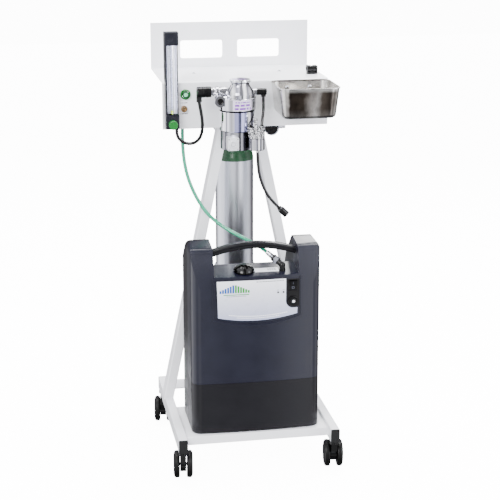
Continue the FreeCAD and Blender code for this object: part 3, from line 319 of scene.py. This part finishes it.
# ---- concentrator case ---------------------------------------------------------------------------
# Injection-moulded ABS in two front covers and a rear shell. The upper cover is a deep navy graphite,
# the lower and rear ones a shade darker, with a fine spark texture under a soft gloss.
navy_abs, tree, shader, place = begin("navy_graphite_abs", "#0b0c1b", 0.36, IOR=1.45, Specular_IOR_Level=0.35,
                                      Coat_Weight=0.35, Coat_Roughness=0.16)
grain(tree, shader, place, 1.1, 0.018)
shade = mottled(tree, shader, place, 45.0, 0.3, 0.42)
tree.links.new(blended(tree, shade, "#0a0b19", "#0e1022"), shader.inputs["Base Color"])
dark_abs, tree, shader, place = begin("dark_graphite_abs", "#0a090f", 0.38, IOR=1.43, Specular_IOR_Level=0.3,
                                      Coat_Weight=0.15, Coat_Roughness=0.2)
grain(tree, shader, place, 1.1, 0.018)
shade = mottled(tree, shader, place, 45.0, 0.34, 0.46)
tree.links.new(blended(tree, shade, "#08070c", "#0c0b11"), shader.inputs["Base Color"])
wear(navy_abs, "case_front")
wear(dark_abs, "case_front_lower", "case_rear")

# ---- handle --------------------------------------------------------------------------------------
# One injection-moulded nylon bar, bowed between the case's two shoulders and seated in them. Its section
# is an oblong with soft corners, and two finger grooves run along its front.
handle_nylon, tree, shader, place = begin("moulded_grip", "#05050a", 0.34, IOR=1.42, Specular_IOR_Level=0.35,
                                          Coat_Weight=0.1, Coat_Roughness=0.2)
grain(tree, shader, place, 1.2, 0.02)
mottled(tree, shader, place, 25.0, 0.28, 0.42)
grip_half_span, grip_reach, grip_rise = 0.117, 0.1172, 0.020
grip_half_depth, grip_half_height = 0.0129, 0.0094
grip_line, grip_top = -0.1345, 0.6400
grip_radius = (grip_half_span ** 2 + grip_rise ** 2) / (2 * grip_rise)
grip_centre = Vector((0, grip_line, grip_top - grip_radius))


def groove(up, level, width, depth):
    """How deep a finger groove is at a height of the section, from its middle's level and its width."""
    return depth * max(0.0, 1 - abs(up - level) / width)


grip = bmesh.new()
bmesh.ops.create_circle(grip, segments=56, radius=1.0)
for vert in grip.verts:
    across, up = vert.co.x, vert.co.y
    bulge = (abs(across) ** 4 + abs(up) ** 4) ** -0.25
    dent = groove(up, 0.12, 0.11, 0.0013) + groove(up, -0.62, 0.08, 0.0008) if across < 0 else 0.0
    vert.co = (0, across * bulge * grip_half_depth + dent, up * bulge * grip_half_height)
bmesh.ops.translate(grip, verts=grip.verts, vec=grip_centre + Vector((0, 0, grip_radius)))
half_turn = math.asin(grip_reach / grip_radius)
bmesh.ops.rotate(grip, verts=grip.verts, cent=grip_centre, matrix=Matrix.Rotation(-half_turn, 3, "Y"))
bmesh.ops.spin(grip, geom=grip.verts[:] + grip.edges[:], cent=grip_centre, axis=(0, 1, 0), dvec=(0, 0, 0),
               angle=2 * half_turn, steps=48, use_merge=False, use_duplicate=False)
bmesh.ops.holes_fill(grip, edges=[e for e in grip.edges if e.is_boundary], sides=0)
grip_piece = settle(grip, "ridged_handle", handle_nylon)
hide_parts("case_handle")

# ---- labels --------------------------------------------------------------------------------------
# Printed polyester film with pressure-sensitive backing, laid in a recess of the front cover and on
# the deck. The film shades from white to a lilac grey at its foot, under a thin clear laminate. Its
# marks are plain bars and dashes, screen printed.
label_film, tree, shader, place = begin("printed_polyester", "#eceef6", 0.3, IOR=1.5, Coat_Weight=0.2,
                                        Coat_Roughness=0.15)
height = add(tree, "ShaderNodeSeparateXYZ", links={0: place}).outputs["Z"]
down = add(tree, "ShaderNodeMapRange", {"From Min": 0.555, "From Max": 0.445}, {"Value": height})
tree.links.new(blended(tree, down.outputs[0], "#f4f5fb", "#a9aecb"), shader.inputs["Base Color"])
mottled(tree, shader, place, 30.0, 0.26, 0.36)
wear(label_film, "labels")


def ink(name, colour, roughness=0.4):
    """Screen-printed ink: matt, with a slightly uneven film."""
    material, tree, shader, place = begin(name, colour, roughness)
    mottled(tree, shader, place, 4.0, roughness - 0.06, roughness + 0.06)
    return material


def printed(name, node, marks, material, body="stand", top=False, lift=0.00018):
    """Marks laid on a CAD face as (left, right, low, high) in millimetres, seen from the front or above."""
    mesh = nodes[node].data
    face = BVHTree.FromPolygons([v.co for v in mesh.vertices], [tuple(f.vertices) for f in mesh.polygons])
    toward = Vector((0, 0, -1)) if top else Vector((0, 1, 0))
    bm = bmesh.new()
    for left, right, low, high in marks:
        columns = max(1, int((right - left) / 4))
        rows = max(1, int((high - low) / 4))
        made = bmesh.ops.create_grid(bm, x_segments=columns, y_segments=rows, size=0.5)["verts"]
        for vert in made:
            u = left + (vert.co.x + 0.5) * (right - left)
            v = low + (vert.co.y + 0.5) * (high - low)
            start = Vector((u / 1000, v / 1000, 2.0)) if top else Vector((u / 1000, -1.0, v / 1000))
            vert.co = face.ray_cast(start, toward)[0] - toward * lift
    for quad in bm.faces:
        quad.normal_update()
        if quad.normal.dot(toward) > 0:
            quad.normal_flip()
    made = bpy.data.meshes.new(name)
    bm.to_mesh(made)
    bm.free()
    made.materials.append(material)
    piece = bpy.data.objects.new(name, made)
    bpy.context.scene.collection.objects.link(piece)
    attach(piece, body)


def dashes(left, right, low, high, seed):
    """A row of short dashes of uneven length, as small print looks from a step away."""
    row = []
    while left < right:
        seed = (seed * 7 + 3) % 11
        end = min(right, left + (high - low) * (1.0 + 0.22 * seed))
        row.append((left, end, low, high))
        left = end + (high - low) * 0.55
    return row


def bowed(left, right, low, tall, seed):
    """Dashes that follow the label's bowed lower edge."""
    return [(a, b, low + 11 * ((a + b) / 216) ** 2, low + tall + 11 * ((a + b) / 216) ** 2)
            for a, b, _, _ in dashes(left, right, 0, tall, seed)]


blue_ink = ink("blue_print", "#154f9e")
green_ink = ink("green_print", "#1d8a30")
grey_ink = ink("grey_print", "#4a4d58")
white_ink = ink("white_print", "#fdfdff")
bar_pitch, bar_width, bar_foot = 7.0, 5.2, 522.5
rising = [-103 + bar_pitch * k for k in range(6)]
falling = [-61 + bar_pitch * k for k in range(6)]
emblem_blue = [(left, left + bar_width, bar_foot, 530 + 3 * k) for k, left in enumerate(rising)]
emblem_green = [(left, left + bar_width, bar_foot, 545 - 3 * k) for k, left in enumerate(falling)]
emblem_green += [(-92, -22, 516.6, 518.8)]
printed("label_emblem_blue", "labels", emblem_blue, blue_ink)
printed("label_emblem_green", "labels", emblem_green, green_ink)
light_rules = [(54.6, 60.8, 524.5, 525.7), (70, 76.2, 524.5, 525.7)]
small_print = dashes(-2, 74, 550.4, 552.2, 4) + dashes(-84, -30, 512.6, 514, 2) + light_rules
printed("label_small_print", "labels", small_print, grey_ink)
printed("label_foot_print", "labels", bowed(-78, 84, 453.5, 2.2, 5) + bowed(-56, 62, 448.4, 1.8, 3),
        white_ink)
deck_bars = [(36 + 2.1 * k, 36 + 2.1 * k + (0.7 if k % 3 else 1.3), -163, -149.5) for k in range(12)]
printed("deck_label_bars", "labels", deck_bars, grey_ink, top=True)

# ---- front switches ------------------------------------------------------------------------------
# A satin black ABS plate snapped into the front cover, with a rocker switch for power and a push-to-reset
# breaker below it. The breaker's cap is black with a white centre dot; the rocker has pad-printed marks.
black_abs, tree, shader, place = begin("satin_black_abs", "#020203", 0.35, IOR=1.42, Specular_IOR_Level=0.35)
grain(tree, shader, place, 0.8, 0.02)
mottled(tree, shader, place, 15.0, 0.28, 0.42)
wear(black_abs, "switch_plate", "power_rocker")
breaker_cap, tree, shader, place = begin("breaker_cap_abs", "#060608", 0.3, IOR=1.45)
mottled(tree, shader, place, 5.0, 0.24, 0.36)


def disc(tree, place, centre, radius):
    """One inside a round spot seen from the front, nothing outside it."""
    flat = add(tree, "ShaderNodeVectorMath", {"operation": "MULTIPLY", 1: (1, 0, 1)}, {0: place}).outputs[0]
    away = add(tree, "ShaderNodeVectorMath", {"operation": "DISTANCE", 1: (centre[0], 0, centre[1])},
               {0: flat})
    edge = add(tree, "ShaderNodeMapRange", {"From Min": radius - 0.0002, "From Max": radius + 0.0002,
                                            "To Min": 1.0, "To Max": 0.0}, {"Value": away.outputs["Value"]})
    return edge.outputs[0]


centre_dot = disc(tree, place, (0.1, 0.492), 0.0038)
tree.links.new(blended(tree, centre_dot, "#060608", "#f4f5f8"), shader.inputs["Base Color"])
wear(breaker_cap, "breaker_button")
on_mark = [(99.4, 100.6, 539, 545.5)]
off_mark = [(96.6, 103.4, 526.2, 527.4), (96.6, 103.4, 531.8, 533), (96.6, 97.8, 527.4, 531.8),
            (102.2, 103.4, 527.4, 531.8)]
printed("rocker_marks", "power_rocker", on_mark + off_mark, grey_ink, body="power_rocker")

# ---- flow knob and outlet ------------------------------------------------------------------------
# A polished phenolic knob on the flow control valve, and the oxygen outlet beside it: a black nylon
# elbow screwed into the deck, with a chromed hex nut, a rubber grip ring and a pressed ferrule that
# holds the supply hose.
phenolic, tree, shader, place = begin("polished_black_phenolic", "#010101", 0.1, IOR=1.4,
                                      Specular_IOR_Level=0.35, Coat_Weight=0.12, Coat_Roughness=0.04)
mottled(tree, shader, place, 10.0, 0.07, 0.16)
wear(phenolic, "flow_knob")
black_nylon, tree, shader, place = begin("moulded_black_nylon", "#030304", 0.26, IOR=1.42,
                                         Specular_IOR_Level=0.35, Coat_Weight=0.12, Coat_Roughness=0.1)
grain(tree, shader, place, 0.9, 0.015)
mottled(tree, shader, place, 8.0, 0.2, 0.36)
wear(black_nylon, "outlet_elbow")
chrome, tree, shader, place = begin("bright_chrome", "#e6e8ee", 0.07, metallic=1.0)
mottled(tree, shader, place, 14.0, 0.04, 0.13)
smoked_chrome, tree, shader, place = begin("smoked_chrome", "#7f8188", 0.12, metallic=1.0)
mottled(tree, shader, place, 6.0, 0.08, 0.2)
wear(smoked_chrome, "outlet_coupling")


def turned(name, profile, at, axis, material, body="stand"):
    """A lathe-turned piece: (radius, along) points in millimetres about an axis; it may be a ring."""
    bm = bmesh.new()
    corners = [bm.verts.new((radius / 1000, 0, along / 1000)) for radius, along in profile]
    closed = profile[0][0] > 0
    pairs = list(zip(corners, corners[1:])) + ([(corners[-1], corners[0])] if closed else [])
    edges = [bm.edges.new(pair) for pair in pairs]
    bmesh.ops.spin(bm, geom=corners + edges, cent=(0, 0, 0), axis=(0, 0, 1), dvec=(0, 0, 0), angle=math.tau,
                   steps=48, use_merge=True, use_duplicate=False)
    bmesh.ops.remove_doubles(bm, verts=bm.verts, dist=0.000001)
    way = Vector(axis).to_track_quat("Z", "Y").to_matrix().to_4x4()
    bm.transform(Matrix.Translation(Vector(at) / 1000) @ way)
    settle(bm, name, material, body)


outlet_axis = Vector((-0.6, 0.64, 0.48))
outlet_head = Vector((75.0, -163.5, 586.0))
turned("outlet_grip_ring", [(8.25, 0), (9.6, 0), (10.2, 0.8), (10.2, 5.2), (9.6, 6), (8.25, 6)],
       outlet_head + outlet_axis * 28.5, outlet_axis, black_nylon)
ferrule_aluminium, tree, shader, place = begin("crimped_ferrule", "#e9eaee", 0.22, metallic=1.0)
grain(tree, shader, place, 0.7, 0.01)
mottled(tree, shader, place, 6.0, 0.16, 0.3)
ferrule_axis = Vector((-0.604, 0.63, 0.488))
turned("supply_ferrule", [(5.15, 0), (6.9, 0), (6.9, 3), (6.1, 4), (6.9, 5), (6.9, 8), (6.1, 9), (6.6, 10),
                          (6.4, 14), (5.15, 15)],
       outlet_head + outlet_axis * 43.2, ferrule_axis, ferrule_aluminium)

# ---- hose connector ------------------------------------------------------------------------------
# The patient end: a moulded black nylon socket with a raised grip and a thin chromed band behind it.
wear(black_nylon, "hose_connector")
hose_end = Vector((67.0, -156.0, 746.0))
hose_way = (hose_end - Vector((49.5, -154.5, 763.0))).normalized()
turned("connector_band", [(6.6, 0), (7.4, 0.3), (7.4, 2.7), (6.6, 3)], hose_end + hose_way * 3.5, hose_way,
       chrome)

# ---- reserve cylinder ----------------------------------------------------------------------------
# A drawn aluminium cylinder, brushed round its wall, with its shoulder painted oxygen green. It stands in
# the lip ring of its seat.
brushed_aluminium, tree, shader, place = begin("brushed_cylinder", "#b9bcc4", 0.28, metallic=1.0)
split = add(tree, "ShaderNodeSeparateXYZ", links={0: place})
grain(tree, shader, place, 0.8, 0.05, detail=2.0, stretch=(0.03, 0.03, 1.6))
green_line = 0.816
shoulder = add(tree, "ShaderNodeMapRange", {"From Min": green_line - 0.0005, "From Max": green_line + 0.0005},
               {"Value": split.outputs["Z"]})
tree.links.new(blended(tree, shoulder.outputs[0], "#cdd0d8", "#0b4220"), shader.inputs["Base Color"])
bare = add(tree, "ShaderNodeMath", {"operation": "SUBTRACT", 0: 1.0}, {1: shoulder.outputs[0]})
tree.links.new(bare.outputs[0], shader.inputs["Metallic"])
wear(brushed_aluminium, "oxygen_cylinder")

# ---- cylinder valve and regulator ----------------------------------------------------------------
# Forged brass, machined and chromed: the post valve, its spindle, the yoke regulator and its screw. The
# gauge has a black moulded case with a thin chromed bezel.
wear(chrome, "cylinder_valve", "valve_spindle", "regulator", "yoke_screw")
wear(black_nylon, "pressure_gauge")
turned("gauge_bezel", [(18.4, 0), (21.4, 0), (21.4, 1.8), (20.6, 2.8), (19.4, 2.8), (18.4, 1.6)],
       (101.0, 124.4, 909.0), (0, -1, 0), chrome)

# ---- vaporiser -----------------------------------------------------------------------------------
# Turned and polished nickel plate over brass. Bright and dark upright bands of colour, some lilac, stand
# for the room that the plate mirrors; the satin collar has a pale label, and a dark seal sits under it.
# The filler block is a satin casting with four corner screws, bolted on from the front.
nickel, tree, shader, place = begin("polished_nickel", "#d9dcea", 0.1, metallic=1.0)
split = add(tree, "ShaderNodeSeparateXYZ", links={0: place})
mirror = [banded(tree, split.outputs["X"], left, right, stops) for left, right, stops in (
    (-0.069, 0.011, (
     (0.0, "#e6e6ec"), (0.09, "#55555f"), (0.2, "#fbfbfd"), (0.32, "#7f7f8b"), (0.46, "#c9c9d4"),
     (0.6, "#ffffff"), (0.68, "#5f5f6a"), (0.8, "#e4e4ea"), (0.9, "#3e3e48"), (1.0, "#dcdce2"))),
    (-0.084, 0.012, (
     (0.0, "#ffffff"), (0.12, "#f0f0f4"), (0.14, "#4a4a55"), (0.17, "#e9e9ef"), (0.32, "#dcdce6"),
     (0.36, "#a4a5cf"), (0.68, "#a9aad2"), (0.72, "#ffffff"), (0.79, "#f4f4f8"), (0.82, "#5c5c68"),
     (0.91, "#77777f"), (0.95, "#f6f6f8"))),
    (-0.081, 0.009, (
     (0.0, "#c9c9cf"), (0.1, "#4b4b52"), (0.2, "#b9b9c0"), (0.55, "#8a8a92"), (0.62, "#2c2c32"),
     (0.74, "#33333a"), (0.83, "#8f8f96"), (0.93, "#54545c"), (1.0, "#e2e2e6"))))]


def above(tree, value, level):
    """One above a level in metres, nothing below it."""
    return add(tree, "ShaderNodeMath", {"operation": "GREATER_THAN", 1: level}, {0: value}).outputs[0]


upright = split.outputs["Z"]
foot_top, seal_low, seal_high, collar_top = 0.9512, 1.0042, 1.0085, 1.0395
tint = blended(tree, above(tree, upright, foot_top), mirror[2], mirror[1])
tint = blended(tree, above(tree, upright, seal_low), tint, "#0c0c10")
tint = blended(tree, above(tree, upright, seal_high), tint, "#dcdde3")
tint = blended(tree, above(tree, upright, collar_top), tint, mirror[0])
tree.links.new(tint, shader.inputs["Base Color"])
mottled(tree, shader, place, 16.0, 0.07, 0.14)
wear(nickel, "vaporiser_body")
lilac_ink = ink("lilac_ground", "#d6cce6")
violet_ink = ink("violet_print", "#7a3ea6")
printed("vaporiser_label", "vaporiser_body", [(-55, -2, 1010, 1037.5)], lilac_ink, lift=0.00008)
body_rows = dashes(-49, -8, 1030.5, 1033.5, 3) + dashes(-50, -7, 1021.5, 1027, 5)
body_rows += dashes(-51, -6, 1012.5, 1018, 8)
printed("vaporiser_print", "vaporiser_body", body_rows, violet_ink, lift=0.00026)
wear(chrome, "vaporiser_dial")
cap_rows = dashes(-48, -14, -105.5, -102.5, 3) + dashes(-50, -10, -98, -94.5, 6)
cap_rows += dashes(-46, -14, -91, -88, 2)
printed("dial_print", "vaporiser_dial", cap_rows, violet_ink, body="vaporiser_dial", top=True)
turned("port_lining", [(0, 3), (6.2, 3), (6.2, 0.4), (7, 0), (8.3, 0.4), (8.3, 12), (0, 12)],
       (-86.0, -123.4, 1033.0), (0, 1, 0), black_nylon)
satin_nickel, tree, shader, place = begin("satin_nickel_casting", "#f2f3f7", 0.36, metallic=0.5)
grain(tree, shader, place, 0.6, 0.006)
mottled(tree, shader, place, 9.0, 0.3, 0.42)
wear(satin_nickel, "filler_block")
screw_head = [(0, -1), (1.9, -1), (1.9, 0.6), (1.4, 1.1), (0.9, 1.1), (0.7, 0.5), (0, 0.5)]
filler_corners = [(x, -148.5, z) for z in (908.5, 936.5) for x in (-67.5, -44.5)]
for number, corner in enumerate(filler_corners):
    turned("filler_screw_" + str(number), screw_head, corner, (0, -1, 0), chrome)
cast_metal, tree, shader, place = begin("die_cast_aluminium", "#a9abb0", 0.45, metallic=1.0)
grain(tree, shader, place, 1.5, 0.05)
mottled(tree, shader, place, 20.0, 0.38, 0.55)
wear(cast_metal, "vaporiser_mount")

# ---- gas fittings --------------------------------------------------------------------------------
# Black nylon elbows at either end of the vaporiser, and a chromed outlet manifold with a knurled grip
# ring, screwed together from turned pieces. The knurls are shown by painted dark and bright glints of
# colour, and the smooth chrome below them by a painted reflection: dark and bright bands across its width.
wear(black_nylon, "gas_elbows")
knurled_chrome, tree, shader, place = begin("knurled_chrome", "#d9dae0", 0.1, metallic=1.0)
split = add(tree, "ShaderNodeSeparateXYZ", links={0: place})
# Painted reflection: upright dark and bright bands across the smooth chrome below the knurls.
painted_reflection_bands = banded(tree, split.outputs["X"], -0.0154, 0.0286, (
    (0.0, "#d8d8de"), (0.12, "#3c3c44"), (0.25, "#f8f8fc"), (0.42, "#8d8d99"), (0.55, "#ffffff"),
    (0.66, "#5d5d67"), (0.8, "#ececf2"), (0.9, "#303038"), (1.0, "#d0d0d6")))
# Painted glints on the knurls: a fine noise turned into dark and bright specks.
glints = add(tree, "ShaderNodeTexNoise", {"Scale": 330.0, "Detail": 1.0}, {"Vector": place})
glint = add(tree, "ShaderNodeMapRange", {"From Min": 0.44, "From Max": 0.56},
            {"Value": glints.outputs["Fac"]})
sparkle = blended(tree, glint.outputs[0], "#2a2a30", "#ffffff")
knurl_foot = 0.938
knurled = above(tree, split.outputs["Z"], knurl_foot)
tree.links.new(blended(tree, knurled, painted_reflection_bands, sparkle), shader.inputs["Base Color"])
mottled(tree, shader, place, 5.0, 0.07, 0.16)
wear(knurled_chrome, "outlet_manifold")
for number, x in enumerate((-129.5, -117.5)):
    turned("elbow_rib_" + str(number), [(14.55, 0), (15.1, 0.3), (15.1, 1.7), (14.55, 2)],
           (x, -86.5, 1054.0), (1, 0, 0), black_nylon)

# ---- flowmeter -----------------------------------------------------------------------------------
# A slate acrylic block on the panel's front holds a clear machined tube with a printed scale behind it.
# A small float rides on the flow, and a knurled green knob turns the needle valve below.
slate_acrylic, tree, shader, place = begin("slate_flowmeter_block", "#15161f", 0.24, IOR=1.45,
                                           Coat_Weight=0.25, Coat_Roughness=0.1)
mottled(tree, shader, place, 16.0, 0.18, 0.3)
wear(slate_acrylic, "flowmeter_block")
clear_acrylic, tree, shader, place = begin("clear_acrylic", "#f6f8ff", 0.05, IOR=1.35,
                                           Transmission_Weight=1.0)
mottled(tree, shader, place, 12.0, 0.02, 0.07)
wear(clear_acrylic, "flowmeter_tube")
scale_film, tree, shader, place = begin("scale_film", "#cdd0e6", 0.5)
mottled(tree, shader, place, 6.0, 0.44, 0.56)
across = add(tree, "ShaderNodeSeparateXYZ", links={0: place}).outputs["X"]
# Painted light on the scale film: bright bands stand for the tube's highlights, and darker edges and middle
# stand for its shade.
scale_painted_light = banded(tree, across, -0.2185, -0.1925, (
    (0.0, "#9094b4"), (0.3, "#e8e9f4"), (0.44, "#8f92ad"), (0.56, "#8f92ad"), (0.7, "#f2f3fa"),
    (1.0, "#a3a6c2")))
tree.links.new(scale_painted_light, shader.inputs["Base Color"])
plate_place, plate_size = (-0.2055, -0.03775, 1.082), (0.0256, 0.0004, 0.184, 1)
plate = bmesh.new()
bmesh.ops.create_cube(plate, size=1.0, matrix=Matrix.Translation(plate_place) @ Matrix.Diagonal(plate_size))
bmesh.ops.bevel(plate, geom=plate.edges[:], offset=0.0001, segments=1, profile=0.5, affect="EDGES",
                material=-1)
settle(plate, "scale_plate", scale_film)
dark_ink = ink("black_print", "#16171c")
tick_foot, tick_pitch, tick_height = 999.5, 4.2, 1.0
levels = [tick_foot + tick_pitch * k for k in range(42)]
ticks = [(-217.4, -213.8 if k % 5 else -211.4, z, z + tick_height) for k, z in enumerate(levels)]
ticks += [(-197.2 if k % 5 else -199.6, -193.6, z, z + tick_height) for k, z in enumerate(levels)]
printed("flow_scale", "flowmeter_tube", ticks, dark_ink)
float_plastic, tree, shader, place = begin("yellow_green_float", "#c9e23a", 0.3)
mottled(tree, shader, place, 3.0, 0.25, 0.4)
wear(float_plastic, "flowmeter_float")
green_abs, tree, shader, place = begin("oxygen_green_abs", "#0a6623", 0.28, IOR=1.48)
grain(tree, shader, place, 0.9, 0.02)
mottled(tree, shader, place, 8.0, 0.22, 0.38)
wear(green_abs, "flowmeter_knob")

# ---- flush button and auxiliary fitting ----------------------------------------------------------
# A moulded green bezel with a mint push button, and a turned brass fitting below it for a second hose.
# The dark ring round the button's face is painted shade where it sinks into the bezel. Small screen-printed
# marks stand over each.
wear(green_abs, "flush_bezel")
mint_abs, tree, shader, place = begin("mint_button", "#7edba6", 0.28, IOR=1.48)
mottled(tree, shader, place, 8.0, 0.22, 0.36)
# Painted shade: outside its face the button is coloured near black, where the bezel's gap shades it.
face_inside_painted_shade = disc(tree, place, (-0.166, 1.0385), 0.0058)
tree.links.new(blended(tree, face_inside_painted_shade, "#063014", "#7edba6"), shader.inputs["Base Color"])
wear(mint_abs, "flush_button")
brass, tree, shader, place = begin("turned_brass", "#b59a78", 0.24, metallic=1.0)
mottled(tree, shader, place, 8.0, 0.16, 0.32)
wear(brass, "aux_fitting")
panel_marks = dashes(-180, -161, 1014.5, 1016.5, 3) + dashes(-181, -160, 984.5, 986.7, 6)
printed("panel_print", "top_panel", panel_marks, grey_ink)

# ---- instrument tray -----------------------------------------------------------------------------
# Deep-drawn stainless steel with a rolled rim, polished and bolted to the panel. Its front carries a
# painted reflection: soft brown patches between bright edges stand for the dark end of the room it mirrors.
tray_steel, tree, shader, place = begin("polished_stainless", "#c9c7c3", 0.2, metallic=1.0)
grain(tree, shader, place, 0.9, 0.004, stretch=(0.15, 0.15, 4.0))
mottled(tree, shader, place, 25.0, 0.13, 0.26)
split = add(tree, "ShaderNodeSeparateXYZ", links={0: place})
sway = add(tree, "ShaderNodeTexNoise", {"Scale": 28.0, "Detail": 2.0}, {"Vector": place})
drift = add(tree, "ShaderNodeMapRange", {"To Min": -0.014, "To Max": 0.014}, {"Value": sway.outputs["Fac"]})
wander = add(tree, "ShaderNodeMath", {"operation": "ADD"}, {0: split.outputs["X"], 1: drift.outputs[0]})
# Painted reflection on the tray's front: bright edges and soft brown patches that wander a little.
patches = banded(tree, wander.outputs[0], 0.0655, 0.2285, (
    (0.0, "#f2f0ec"), (0.08, "#c4c0ba"), (0.16, "#332c27"), (0.4, "#3f3831"), (0.5, "#a39d97"),
    (0.58, "#c4c0bb"), (0.68, "#564f48"), (0.82, "#2c2622"), (0.93, "#7f7973"), (1.0, "#f4f2ef")))
front = add(tree, "ShaderNodeMapRange", {"From Min": -0.16, "From Max": -0.176},
            {"Value": split.outputs["Y"]})
low = add(tree, "ShaderNodeMapRange", {"From Min": 1.066, "From Max": 1.058}, {"Value": split.outputs["Z"]})
where = add(tree, "ShaderNodeMath", {"operation": "MULTIPLY"}, {0: front.outputs[0], 1: low.outputs[0]})
tree.links.new(blended(tree, where.outputs[0], "#c9c7c3", patches), shader.inputs["Base Color"])
wear(tray_steel, "instrument_tray")

# ---- clip and screws -----------------------------------------------------------------------------
# A moulded black clip that holds a hose at the end of the shelf, and the chromed screws and bolts that
# hold the tray, the panel and the covers.
wear(black_nylon, "hose_clip")
wear(chrome, "screws")

# ---- inside the concentrator ---------------------------------------------------------------------
# Out of sight in use: a die-cast compressor and sieve beds, a black chassis with the fan, and the
# control board with its green solder mask and the smoked lenses of its two status lights.
wear(cast_metal, "compressor", "sieve_beds")
wear(black_abs, "chassis", "fan_rotor")
solder_mask, tree, shader, place = begin("solder_mask", "#1d6a3c", 0.35)
mottled(tree, shader, place, 12.0, 0.25, 0.45)
depth = add(tree, "ShaderNodeSeparateXYZ", links={0: place}).outputs["Y"]
tree.links.new(blended(tree, above(tree, depth, -0.185), "#15171b", "#1d6a3c"), shader.inputs["Base Color"])
wear(solder_mask, "circuit_board")

# ---- rear fittings -------------------------------------------------------------------------------
# A black power inlet screwed into the rear shell, and the intake filter's moulded grille.
wear(black_abs, "power_inlet", "filter_grille")

size = {"cad": [list(corner) for corner in cad_box], "visual": [list(corner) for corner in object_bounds()]}
